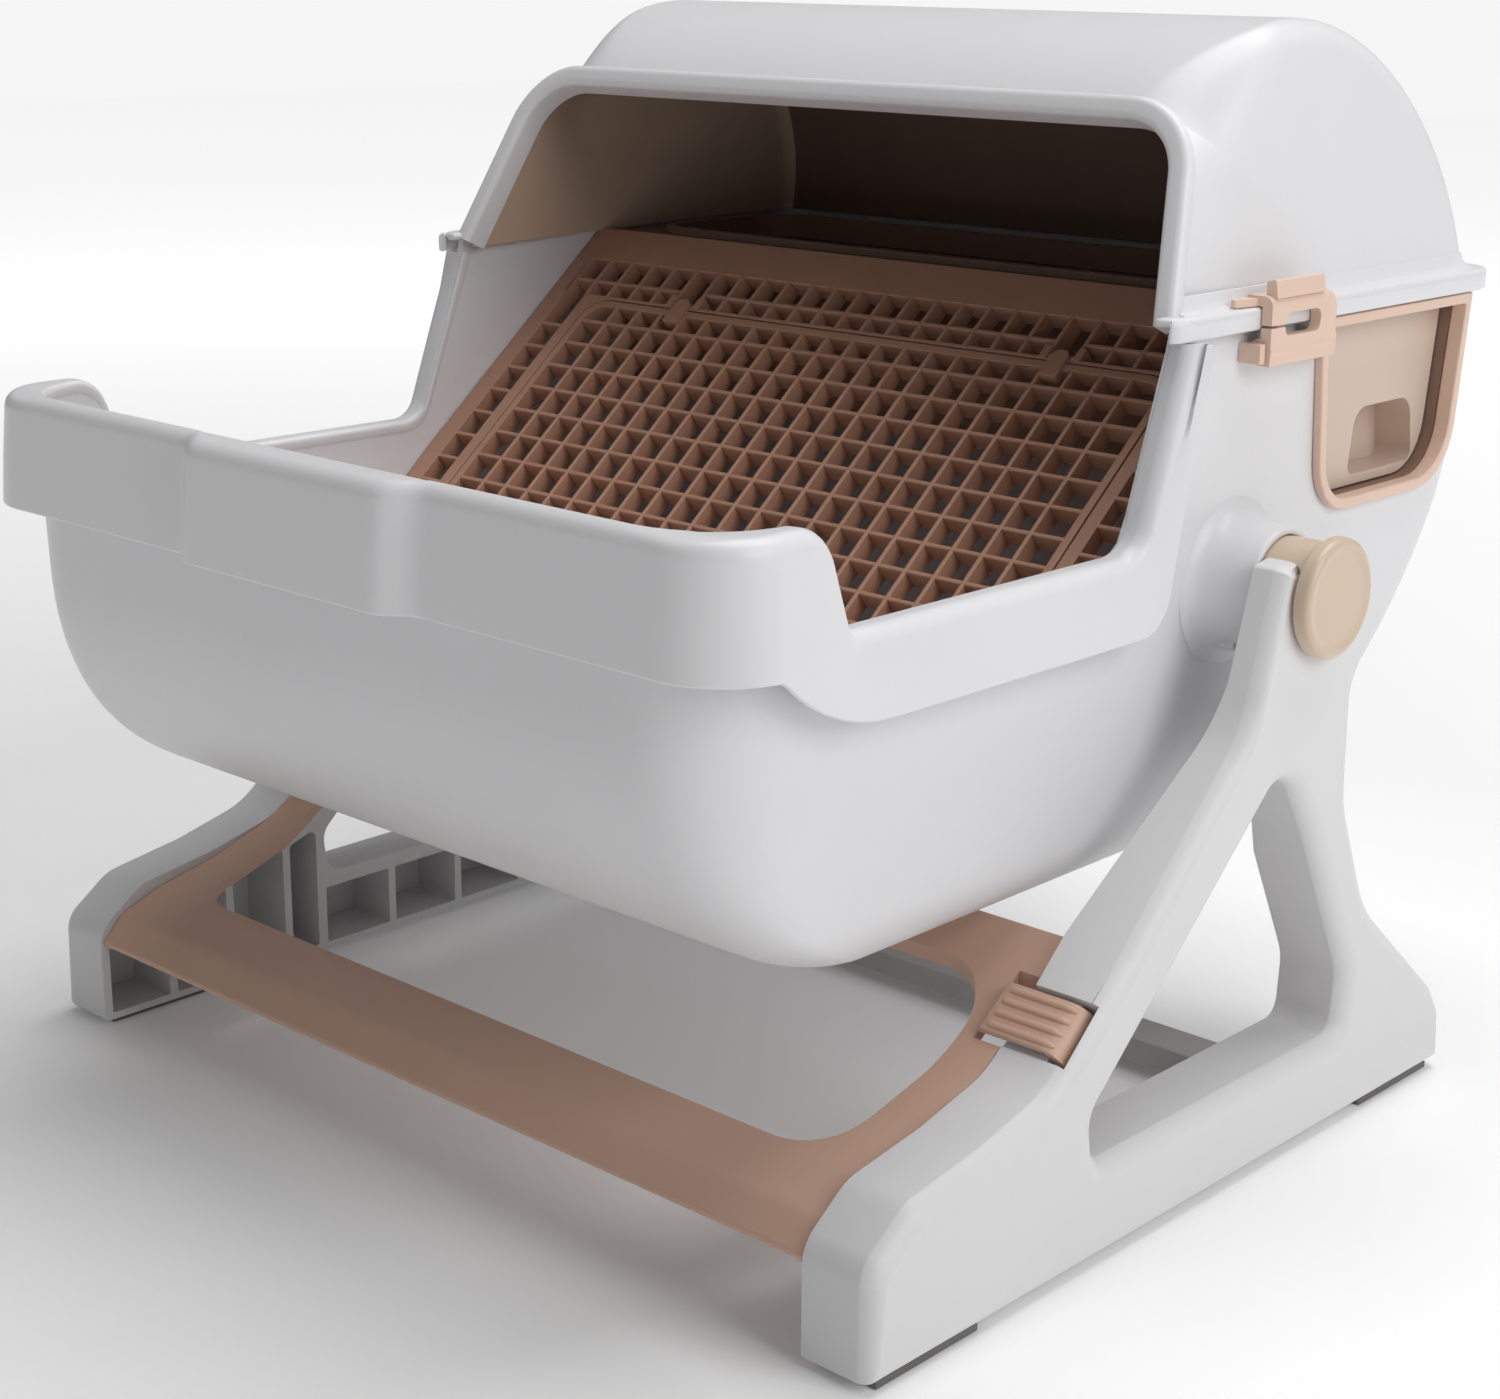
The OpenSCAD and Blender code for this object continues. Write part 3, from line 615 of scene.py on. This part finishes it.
def door_hole():
    """Solid that opens the right-hand wall behind the drawer's bezel."""
    low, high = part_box("drawer_bezel")
    inset = 2.2
    front, back = (low.y - FEET_FRONT) / MM + inset, (high.y - FEET_FRONT) / MM - inset
    foot = low.z / MM + inset
    outline = rounded([(front, 326, 0), (front + 5.5, foot, 20), (back - 9.6, foot, 26),
                       (back, 326, 0)], steps=10)
    shape = Shape()
    shape.grid([[(x, y, z) for y, z in outline] for x in (HALF_W - WALL - 6, HALF_W + 2)],
               wrap_columns=True, caps=True)
    return shape


def build_tub():
    wall = Shape()
    tub_shell(wall)
    opened = tool_from(wall)
    carve(opened, door_hole(), "DIFFERENCE")
    shape = Shape()
    boss(shape)
    shape.mirror_copy()
    tub_rim(shape)
    to_design = TO_ROW.inverted()
    shape.add([to_design @ v.co for v in opened.data.vertices],
              [list(p.vertices) for p in opened.data.polygons])
    cut = opened.data
    bpy.data.objects.remove(opened)
    bpy.data.meshes.remove(cut)
    piece_from(shape, "tub_shell", "drum", ["tub"], "shell_white", [WHITE], angle=50)


# ---- hood -------------------------------------------------------------------------

def hood_half_width(z, inset):
    return HOOD_HALF_W - inset - HOOD_DRAFT * (z - SEAM_Z)


def entrance_point(x, up, depth):
    """A point given across, up along and behind the sloping entrance plane."""
    lean = ENTRANCE_LEAN
    y = ENTRANCE_FOOT[0] + up * math.sin(lean) + depth * math.cos(lean)
    z = ENTRANCE_FOOT[1] + up * math.cos(lean) - depth * math.sin(lean)
    return x, y, z


def entrance_half(grow, count_top, count_corner, count_side):
    """Right half of the entrance outline, grown outwards: top centre, corner, foot."""
    high, height = ENTRANCE_HIGH + grow, ENTRANCE_H + grow
    low = ENTRANCE_LOW + grow
    radius = ENTRANCE_CORNER + grow
    outline = rounded([(0, height, 0), (high, height, radius), (low, 0, 0)],
                      steps=count_corner, closed=False)
    start, end = np.array(outline[1]), np.array(outline[-2])
    top = [np.array([0, height]) * (1 - t) + start * t for t in np.linspace(0, 1, count_top + 1)]
    side = [end * (1 - t) + np.array([low, 0]) * t for t in np.linspace(0, 1, count_side + 1)]
    return np.array(top[:-1] + [np.array(p) for p in outline[1:-2]] + side)


def hood_row(angle, inset, counts):
    """Right half of a section through the barrel along a ray from its axis: crown, edge, side."""
    count_top, count_corner, count_side = counts
    edge = 10 + 23 * float(smoothstep(angle, 100, BARREL_END)) - inset
    radius = BARREL_R - inset
    a = math.radians(angle)

    def at(reach, inward):
        y, z = BARREL_Y + reach * math.cos(a), BARREL_Z + reach * math.sin(a)
        return hood_half_width(z, inset) - inward, y, z

    corner_x = at(radius, edge)[0]
    row = [(corner_x * t, *at(radius, 0)[1:]) for t in np.linspace(0, 1, count_top + 1)]
    for k in range(1, count_corner):
        turn = math.pi / 2 * k / count_corner
        row.append(at(radius - edge + edge * math.cos(turn), edge * (1 - math.sin(turn))))
    row += [at((radius - edge) * (1 - t), 0) for t in np.linspace(0, 1, count_side + 1)]
    return np.array(row)


def hood_sheet(inset):
    """Rows of points from the rear seam over the barrel and on to the entrance rim."""
    counts = (16, 10, 10)
    base = math.degrees(math.asin((SEAM_Z - BARREL_Z) / (BARREL_R - inset)))
    rows = [hood_row(a, inset, counts) for a in np.linspace(base, BARREL_END, 44)]
    target = np.array([entrance_point(x, up, 8.5) for x, up in
                       entrance_half(4.2 - inset, *counts)])
    last = rows[-1]
    for t in np.linspace(0, 1, 7)[1:]:
        rows.append(last * (1 - t) + target * t)
    return [np.concatenate([row[:0:-1] * np.array([-1, 1, 1]), row]) for row in rows]


def hood_shell(shape):
    outer, inner = np.array(hood_sheet(0.0)), np.array(hood_sheet(WALL))
    m = outer.shape[1]
    side = 18
    shape.grid(outer)
    # Inner faces: the side walls take slot 1, painted shade with a warm painted reflection; the
    # barrel takes slot 2, dark painted shade.
    shape.grid(inner[:, :side], slot=1)
    shape.grid(inner[:, side - 1:m - side + 1], slot=2)
    shape.grid(inner[:, m - side:], slot=1)
    for a, b in ((outer[0], inner[0]), (outer[-1], inner[-1]),
                 (outer[:, 0], inner[:, 0]), (outer[:, -1], inner[:, -1])):
        shape.grid([a, b])


def square_to(line, side):
    """Unit vectors square to a line of (x, y) points, to its right for side 1, left for -1."""
    tangent = np.gradient(line, axis=0)
    tangent /= np.linalg.norm(tangent, axis=1)[:, None]
    return np.stack([side * tangent[:, 1], -side * tangent[:, 0]], axis=1)


def sweep_level(shape, line, section):
    """Sweeps a section of (outwards, height) along a level line of (x, y) points."""
    rows = [[(p[0] + o[0] * s, p[1] + o[1] * s, z) for s, z in section]
            for p, o in zip(line, square_to(line, 1))]
    shape.grid(rows, wrap_columns=True, caps=True)


def hood_rim(shape):
    """Rounded frame around the entrance, standing proud of the barrel."""
    section = [(-0.3, 11), (-0.3, 2.4), (0.1, 1.2), (0.9, 0.4), (2.2, 0.0), (6.0, 0.0),
               (7.6, 0.4), (8.7, 1.4), (9.2, 3.0), (9.0, 5.0), (8.2, 7.2), (6.6, 9.4), (4.6, 11.4)]
    half = entrance_half(0, 14, 14, 12)
    centre_line = np.concatenate([half[:0:-1] * np.array([-1, 1]), half])
    rows = []
    for point, out in zip(centre_line, square_to(centre_line, -1)):
        rows.append([entrance_point(point[0] + out[0] * o, max(point[1] + out[1] * o, 0.0), d)
                     for o, d in section])
    shape.grid(rows, wrap_columns=True, caps=True)


def hood_flange(shape):
    """Skirt that laps over the tub's top edge, with a coved step up to the hood's side."""
    inner_x, inner_back = HOOD_HALF_W - 2, BARREL_Y + BARREL_R - 2
    band = rounded([(FLANGE_HALF_W, FLANGE_FRONT, 10), (FLANGE_HALF_W, FLANGE_BACK, 20),
                    (-FLANGE_HALF_W, FLANGE_BACK, 20), (-FLANGE_HALF_W, FLANGE_FRONT, 10),
                    (-inner_x, FLANGE_FRONT, 1), (-inner_x, inner_back, 8),
                    (inner_x, inner_back, 8), (inner_x, FLANGE_FRONT, 1)], steps=12)
    plate_part(shape, band, SEAM_Z - 0.2, SEAM_Z + 3, 1.4, "xy")
    path = rounded([(HALF_W + 3.4, FLANGE_FRONT + 0.4, 0),
                    (FLANGE_HALF_W - 1.6, FLANGE_FRONT + 1.4, 6),
                    (FLANGE_HALF_W - 1.6, FLANGE_BACK - 1.6, 18.5),
                    (-FLANGE_HALF_W + 1.6, FLANGE_BACK - 1.6, 18.5),
                    (-FLANGE_HALF_W + 1.6, FLANGE_FRONT + 1.4, 6),
                    (-HALF_W - 3.4, FLANGE_FRONT + 0.4, 0)], steps=12, closed=False)
    section = [(-1.3, SEAM_Z + 1.5), (-1.3, FLANGE_LOW_Z + 0.8), (-0.7, FLANGE_LOW_Z + 0.2),
               (0, FLANGE_LOW_Z), (0.9, FLANGE_LOW_Z + 0.2), (1.5, FLANGE_LOW_Z + 0.9),
               (1.6, SEAM_Z), (1.5, SEAM_Z + 1.5), (0.4, SEAM_Z + 2.6)]
    sweep_level(shape, np.array(path), section)


def hood_cove(shape):
    """Concave fillet between the flange's top and the hood's side and back."""
    base = [(HOOD_HALF_W, FLANGE_FRONT + 10, 0), (HOOD_HALF_W, BARREL_Y + BARREL_R, 9),
            (-HOOD_HALF_W, BARREL_Y + BARREL_R, 9), (-HOOD_HALF_W, FLANGE_FRONT + 10, 0)]
    lift = SEAM_Z + 2.6
    section = [(-2.2, lift), (-2.0, lift + 6.4), (-1.2, lift + 6.2), (-0.4, lift + 3.6),
               (0.9, lift + 1.8), (2.8, lift + 0.8), (5.4, lift + 0.35), (5.4, lift - 0.6)]
    sweep_level(shape, np.array(rounded(base, steps=10, closed=False)), section)


def build_hood():
    shape = Shape()
    hood_shell(shape)
    hood_rim(shape)
    hood_flange(shape)
    hood_cove(shape)
    # The hood's inner materials are painted shade, darker over the barrel than on the side walls.
    piece_from(shape, "hood_shell", "drum", ["hood"], "shell_white",
               [WHITE, HOOD_SIDE_PAINTED_SHADE, HOOD_BARREL_PAINTED_SHADE], angle=50)


# ---- pivot pins -------------------------------------------------------------------

def build_pin(side):
    """Turned pin: plain shaft and a disc head with a rolled edge and a faintly dished face."""
    edge = 2.6
    profile = [(HALF_W - 7.5, PIN_R - 1), (HALF_W - 7.5, PIN_R), (DISC_BACK - 0.6, PIN_R),
               (DISC_BACK, PIN_R + 0.6), (DISC_BACK, DISC_R - 1.4), (DISC_BACK + 0.4, DISC_R - 0.5),
               (DISC_BACK + 1.2, DISC_R)]
    for k in range(9):
        a = math.pi / 2 * k / 8
        profile.append((DISC_FRONT - edge + edge * math.sin(a), DISC_R - edge + edge * math.cos(a)))
    profile += [(DISC_FRONT - 0.15, DISC_R - 3.6), (DISC_FRONT - 0.6, DISC_R - 5.0),
                (DISC_FRONT - 0.7, DISC_R - 7), (DISC_FRONT - 0.5, 8), (DISC_FRONT - 0.45, 0.5)]
    shape = Shape()
    shape.lathe(profile, PIVOT)
    if side == "left":
        shape.verts = [(-x, y, z) for x, y, z in shape.verts]
    piece_from(shape, "pivot_knob_" + side, "drum", ["pivot_pin_" + side], "knob_tan",
               [KNOB], angle=40)


# ---- sieve ------------------------------------------------------------------------

def on_sieve(x, s, z):
    """A point across, down the slope and out of the sieve's upper face."""
    return (x, SIEVE_TOP[0] - s * math.cos(SIEVE_ANGLE) - z * math.sin(SIEVE_ANGLE),
            SIEVE_TOP[1] - s * math.sin(SIEVE_ANGLE) + z * math.cos(SIEVE_ANGLE))


def rib(shape, start, end, sunk=0.0):
    """A moulded rib from start to end (x, s): rounded top edges and sides that widen downwards."""
    half, deep = BAR_W / 2, SIEVE_T
    section = [(-half - 0.35, -deep + 0.3), (-half - 0.1, -deep), (half + 0.1, -deep),
               (half + 0.35, -deep + 0.3), (half, -0.55), (half - 0.16, -0.2), (half - 0.5, 0),
               (-half + 0.5, 0), (-half + 0.16, -0.2), (-half, -0.55)]
    a, b = Vector(start), Vector(end)
    across = (b - a).normalized().orthogonal()
    rows = [[on_sieve(p.x + across.x * u, p.y + across.y * u, v - sunk) for u, v in section]
            for p in (a, b)]
    shape.grid(rows, wrap_columns=True, caps=True)


def sieve_plate(shape, outline, hole=None, low=-SIEVE_T, high=0.0):
    """A solid border of the sieve: a flat plate with soft edges, drawn as (x, s)."""
    flat = Shape()
    plate_part(flat, outline, low, high, 0.4, "xy", holes=[hole] if hole else ())
    shape.add([on_sieve(*v) for v in flat.verts], flat.faces)


def flap_outline(grow):
    half, foot = FLAP_HALF_W + grow, FLAP_TOP + FLAP_LEN + grow
    radius = 12 + grow
    return rounded(mirrored([(half, FLAP_TOP - grow, radius), (half, foot, radius)]))


def build_sieve():
    """Fixed panel: ribbed border around the flap's opening, with its lugs."""
    shape = Shape()
    sieve_plate(shape, rounded(mirrored([(191.2, 7.2, 1), (191.2, 150, 0), (183.8, 280, 0),
                                         (173.8, 309.8, 6)])),
                rounded(mirrored([(181, 27, 1), (180.5, 282.5, 1), (167.5, 284, 1),
                                  (167.5, 297, 1)])))
    sieve_plate(shape, rounded(mirrored([(168.5, 48.4, 1), (168.5, 285.2, 1)])),
                flap_outline(0.8), high=-0.1)
    for i in range(27):
        x = (i - 13) * CELL
        rib(shape, (x, 26), (x, 49.2))
    for x in (-1, 1):
        for a, b in ((0, 98.5), (111.5, 181.5)):
            rib(shape, (x * a - x * 0.2, 40), (x * b, 40), sunk=0.15)
    for side in (-1, 1):
        for j in range(16):
            s = 69 + CELL * j
            rib(shape, (side * 167.5, s), (side * 181.5, s), sunk=0.15)
    for i in range(1, 24):
        x = (i - 12) * CELL
        rib(shape, (x, 284), (x, 298))
    for side in (-1, 1):
        for lug in (-8.25, 8.25):
            outline = [(side * HINGE_X + lug - 1.75, 43), (side * HINGE_X + lug + 1.75, 43),
                       (side * HINGE_X + lug + 1.75, 49.8), (side * HINGE_X + lug - 1.75, 49.8)]
            sieve_plate(shape, outline, high=0.8)
    piece_from(shape, "sieve_panel_ribbed", "drum", ["sieve_panel"], "sieve_brown", [BROWN])


def build_flap():
    """Scoop flap: a fine grid in a rounded border, hung from two flat tongues."""
    shape = Shape()
    sieve_plate(shape, flap_outline(0), flap_outline(-3.6), high=0.0)
    inside = FLAP_HALF_W - 3
    for i in range(1, 22):
        x = (i - 11) * FLAP_CELL
        rib(shape, (x, FLAP_TOP + 3), (x, FLAP_TOP + FLAP_LEN - 3), sunk=0.05)
    for j in range(15):
        s = FLAP_TOP + 13 + CELL * j
        rib(shape, (-inside, s), (inside, s), sunk=0.2)
    for side in (-1, 1):
        x = side * HINGE_X
        tongue = rounded([(x - 4.4, 45, 4.2), (x + 4.4, 45, 4.2), (x + 4.4, 59.3, 1),
                          (x - 4.4, 59.3, 1)])
        sieve_plate(shape, tongue, low=-4.6, high=1.25)
    piece_from(shape, "sieve_flap_ribbed", "flap", ["sieve_flap"], "sieve_brown", [BROWN])


# ---- side supports ----------------------------------------------------------------

# Outline of a support: (y, z, corner radius, share of the edge rounding)
SUPPORT_CORNERS = [(0, PAD_H, 2, 0.5), (0, 45, 14, 1), (22, 61, 20, 1), (60, 67, 60, 1),
                   (96, 76, 40, 1), (138, 114, 40, 1), (207, 181, 45, 0.7), (225, 240, 2, 0.45),
                   (244, 243, 0, 0.3), (254, 232, 0, 0.2), (270, 223.5, 3, 0.3),
                   (287, 223.5, 5, 0.4), (296, 214, 4, 0.5), (279, 186, 14, 0.8),
                   (281, 140, 40, 1), (303, 90, 60, 1), (364, 38, 8, 1), (STAND_D, 26, 6, 0.8),
                   (STAND_D, PAD_H, 2, 0.5)]
WINDOW_CORNERS = [(124, 40, 9, 1), (121, 60, 10, 1), (235, 164, 12, 1), (254, 134, 40, 1),
                  (289, 66, 20, 1), (287, 40, 8, 1)]


def drawn_in(corners, amount):
    """Outline whose every corner has moved inwards by its share of amount."""
    count = len(corners)
    moved = []
    for i, (y, z, radius, share) in enumerate(corners):
        b = Vector((y, z))
        u = (b - Vector(corners[i - 1][:2])).normalized()
        w = (Vector(corners[(i + 1) % count][:2]) - b).normalized()
        inward = Vector((u.y + w.y, -u.x - w.x)).normalized()
        half = math.sqrt(max(0.05, (1 + u.dot(w)) / 2))
        b += inward * amount * share / half
        bend = u.x * w.y - u.y * w.x
        change = amount * share if bend > 0 else -amount * share
        moved.append((b.x, b.y, max(0.3, radius + change)))
    return rounded(moved, steps=7)


def edge_roll(corners, sign):
    """Rows of an outline whose outer edge rolls over: it draws in towards the outer face."""
    rows = [[(STAND_X - 60, y, z) for y, z in drawn_in(corners, -0.3 * sign)]]
    for k in range(10):
        a = math.radians(88) * k / 9
        inset = SUPPORT_ROUND * (1 - math.cos(a)) - 0.3
        x = STAND_X - SUPPORT_ROUND * (1 - math.sin(a)) + 0.05
        rows.append([(x, y, z) for y, z in drawn_in(corners, inset * sign)])
    return rows


def build_supports():
    """Hollow A-shaped supports with softly rolled outer edges, the left one a mirror image."""
    right = soft_mesh("side_support_right", 0.8, plain_at=STAND_X)
    pillow = Shape()
    pillow.grid(edge_roll(SUPPORT_CORNERS, 1), wrap_columns=True, caps=True)
    carve(right, pillow, "INTERSECT")
    flare = Shape()
    rows = edge_roll(WINDOW_CORNERS, -1)
    flare.grid(rows + [[(x + 4, y, z) for x, y, z in rows[-1]]], wrap_columns=True, caps=True)
    carve(right, flare, "DIFFERENCE")
    left = right.copy()
    left.data = right.data.copy()
    left.name = "side_support_left_moulded"
    left.data.transform(Matrix.Scale(-1, 4, (1, 0, 0)))
    bpy.context.scene.collection.objects.link(left)
    for piece, node in ((right, "side_support_right"), (left, "side_support_left")):
        finish_mesh(piece.data, 40)
        even_normals(piece)
        place(piece, "stand", [node], "shell_white", [SUPPORT_WHITE])


def build_frame():
    """Cross frame with soft edges; its side tabs taper to nothing at the front."""
    piece = soft_mesh("base_frame", 2.2, segments=4)
    wedge = [(-6, 37.2), (-6, 10), (44, 10), (44, 46.4), (2.2, 37.2)]
    for near, far in ((-207, -193), (193, 207)):
        shape = Shape()
        shape.grid([[(x, y, z) for y, z in wedge] for x in (near, far)],
                   wrap_columns=True, caps=True)
        carve(piece, shape, "DIFFERENCE")
    finish_mesh(piece.data, 44)
    even_normals(piece)
    # The frame's beige is darkened as painted shade.
    place(piece, "stand", ["base_frame"], "frame_beige", [BEIGE_PAINTED_SHADE])


def build_latch(side):
    """Spring tongue: a ribbed plate that curls down over the support's outer edge."""
    joint = JOINTS["latch_" + side + "_flex"]
    root_x = abs(joint["pos_m"][0]) / MM
    slope = math.atan2(abs(joint["axis"][2]), abs(joint["axis"][1]))
    foot_y, foot_z = LATCH_FOOT

    def at(x, v, w):
        return (x, foot_y + v * math.cos(slope) - w * math.sin(slope),
                foot_z + v * math.sin(slope) + w * math.cos(slope))

    top, curl, reach = 4.2, 8.0, 34.8
    line = [(root_x - 1.4, 2.2), (root_x - 0.6, 3.2), (root_x + 0.6, top)]
    line += [(root_x + x, top) for x in (3, 6, 26)]
    for k in range(1, 9):
        a = math.pi / 2 * k / 8
        line.append((root_x + reach - curl + curl * math.sin(a), top - curl + curl * math.cos(a)))
    tip = [(0, -9.6), (-0.5, -10.6), (-1.6, -10.8), (-2.7, -10.2), (-3, -9)]
    line += [(root_x + reach + x, w) for x, w in tip]
    for k in range(6):
        a = math.pi / 2 * (1 - k / 5)
        inner = curl - 3
        line.append((root_x + reach - curl + inner * math.sin(a), top - curl + inner * math.cos(a)))
    line += [(root_x + 3, 0.7), (root_x, 0.7), (root_x - 1.2, 1.2)]
    shape = Shape()
    low, high = -6.8, 14.8
    rows = []
    for v, shrink in ((low, 0.9), (low + 0.15, 0.4), (low + 0.9, 0), (high - 0.9, 0),
                      (high - 0.15, 0.4), (high, 0.9)):
        row = []
        for i, p in enumerate(line):
            before, after = np.array(line[i - 1]), np.array(line[(i + 1) % len(line)])
            along = (after - before) / np.linalg.norm(after - before)
            row.append(at(p[0] - along[1] * shrink, v, p[1] - along[0] * shrink))
        rows.append(row)
    shape.grid(rows, wrap_columns=True, caps=True)
    for i in range(4):
        v = -3.8 + 5.2 * i
        section = [(1.35 * math.cos(a), 1.25 * math.sin(a))
                   for a in np.linspace(0, math.pi, 9)] + [(-1.35, -0.6), (1.35, -0.6)]
        ends = [(root_x + 2.6, 0.25), (root_x + 2.9, 0.7), (root_x + 3.8, 1), (root_x + 27, 1),
                (root_x + 29.2, 0.9), (root_x + 30.6, 0.6), (root_x + 31.4, 0.25)]
        drop = [0, 0, 0, 0, -0.25, -0.75, -1.2]
        shape.grid([[at(x, v + u * size, top + w * size + d) for u, w in section]
                    for (x, size), d in zip(ends, drop)], wrap_columns=True, caps=True)
    if side == "left":
        shape.verts = [(-x, y, z) for x, y, z in shape.verts]
    name = "latch_" + side
    # The latch shares the frame's beige, darkened as painted shade.
    piece_from(shape, name + "_ribbed", name, [name], "frame_beige", [BEIGE_PAINTED_SHADE], angle=46)


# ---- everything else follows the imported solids, with moulded edges -----------------

def build_moulded():
    build_frame()
    # The rear crossbar's grey is painted shade on white plastic.
    softened("rear_crossbar", "stand", "crossbar_grey", CROSSBAR_PAINTED_SHADE, 0.8)
    softened("foot_pads", "stand", "pad_rubber", PAD, 0.6)
    softened("flap_hinge_pins", "drum", "pin_steel", STEEL, 0.2, segments=2)
    softened("drawer_housing", "drum", "housing_brown", CHUTE, 0.7)
    softened("drawer_bezel", "drum", "frame_beige", LIGHT_BEIGE, 0.9)
    softened("waste_drawer", "drawer", "drawer_tan", TAN, 0.6)
    softened("drawer_front", "drawer", "drawer_tan", TAN, 0.7)
    softened("hood_clip_right", "clip_right", "frame_beige", LIGHT_BEIGE, 0.7)
    softened("hood_clip_left", "clip_left", "frame_beige", LIGHT_BEIGE, 0.7)
    softened("clip_pin_right", "drum", "frame_beige", LIGHT_BEIGE, 0.5)
    softened("clip_pin_left", "drum", "frame_beige", LIGHT_BEIGE, 0.5)


# ---- stage ------------------------------------------------------------------------

def floor_paint():
    """Pale floor paint with a white glow that grows with distance from the object."""
    paint = plastic("floor_paint", (0.95, 0.95, 0.95), 0.7, variation=0.004, grain=0.02)
    nodes, links = paint.node_tree.nodes, paint.node_tree.links
    shader = nodes["Principled BSDF"]
    shader.inputs["Emission Color"].default_value = (1, 1, 1, 1)
    spot = nodes.new("ShaderNodeTexCoord")
    reach = nodes.new("ShaderNodeVectorMath")
    reach.operation = "LENGTH"
    links.new(spot.outputs["Object"], reach.inputs[0])
    rise = nodes.new("ShaderNodeMapRange")
    rise.inputs["From Min"].default_value = 0.55
    rise.inputs["From Max"].default_value = 2.4
    rise.inputs["To Min"].default_value = 0.06
    rise.inputs["To Max"].default_value = 0.72
    links.new(reach.outputs["Value"], rise.inputs["Value"])
    links.new(rise.outputs["Result"], shader.inputs["Emission Strength"])
    return paint


def build_world():
    """Dim white sky, with a brighter plain backdrop where nothing stands before the camera."""
    world = bpy.data.worlds.new("studio")
    bpy.context.scene.world = world
    world.use_nodes = True
    nodes, links = world.node_tree.nodes, world.node_tree.links
    sky = nodes["Background"]
    sky.inputs["Color"].default_value = (1, 1, 1, 1)
    sky.inputs["Strength"].default_value = 0.19
    backdrop = nodes.new("ShaderNodeBackground")
    backdrop.inputs["Color"].default_value = (1, 1, 1, 1)
    backdrop.inputs["Strength"].default_value = 0.92
    direct = nodes.new("ShaderNodeLightPath")
    either = nodes.new("ShaderNodeMixShader")
    links.new(direct.outputs["Is Camera Ray"], either.inputs["Fac"])
    links.new(sky.outputs["Background"], either.inputs[1])
    links.new(backdrop.outputs["Background"], either.inputs[2])
    links.new(either.outputs["Shader"], nodes["World Output"].inputs["Surface"])


def build_stage():
    bpy.ops.mesh.primitive_plane_add(size=12, location=(0, 0, CAD_BOX[0][2] - 0.0002))
    floor = bpy.context.object
    floor.name = "floor"
    floor.data.materials.append(floor_paint())
    floor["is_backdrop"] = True
    build_world()
    area_light("key", (1.95, 0.0, 1.3), (0, 0.05, 0.22), 1.3, 18.5)
    area_light("top", (0.1, 0.5, 2.1), (0, 0.1, 0.3), 1.6, 30)
    bpy.context.scene.view_settings.view_transform = "Standard"


def area_light(name, where, target, size, power):
    light = bpy.data.lights.new(name, "AREA")
    light.shape = "SQUARE"
    light.size = size
    light.energy = power
    lamp = bpy.data.objects.new(name, light)
    lamp.location = where
    aim = Vector(target) - Vector(where)
    lamp.rotation_euler = aim.to_track_quat("-Z", "Y").to_euler()
    bpy.context.scene.collection.objects.link(lamp)


def build_camera():
    """The viewing angle: 43 degrees to the right of the entrance and 16 above level."""
    turn, lift, roll = math.radians(43.02), math.radians(16.17), math.radians(0.42)
    back = Vector((math.sin(turn) * math.cos(lift), -math.cos(turn) * math.cos(lift),
                   math.sin(lift)))
    right = Vector((math.cos(turn), math.sin(turn), 0))
    up = back.cross(right)
    right, up = (right * math.cos(roll) + up * math.sin(roll),
                 up * math.cos(roll) - right * math.sin(roll))
    lens = bpy.data.cameras.new("camera")
    lens.sensor_width = 36
    lens.lens = 62.94
    camera = bpy.data.objects.new("camera", lens)
    pose = Matrix((right, up, back)).transposed().to_4x4()
    pose.translation = TO_ROW @ Vector((722.77, -583.05, 458.47))
    camera.matrix_world = pose
    bpy.context.scene.collection.objects.link(camera)
    bpy.context.scene.camera = camera


def plain(box):
    return [[float(c) for c in corner] for corner in box]


build_camera()
build_stage()
build_tub()
build_hood()
build_pin("right")
build_pin("left")
build_supports()
build_latch("right")
build_latch("left")
build_sieve()
build_flap()
build_moulded()

{"cad": plain(CAD_BOX), "visual": plain(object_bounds())}
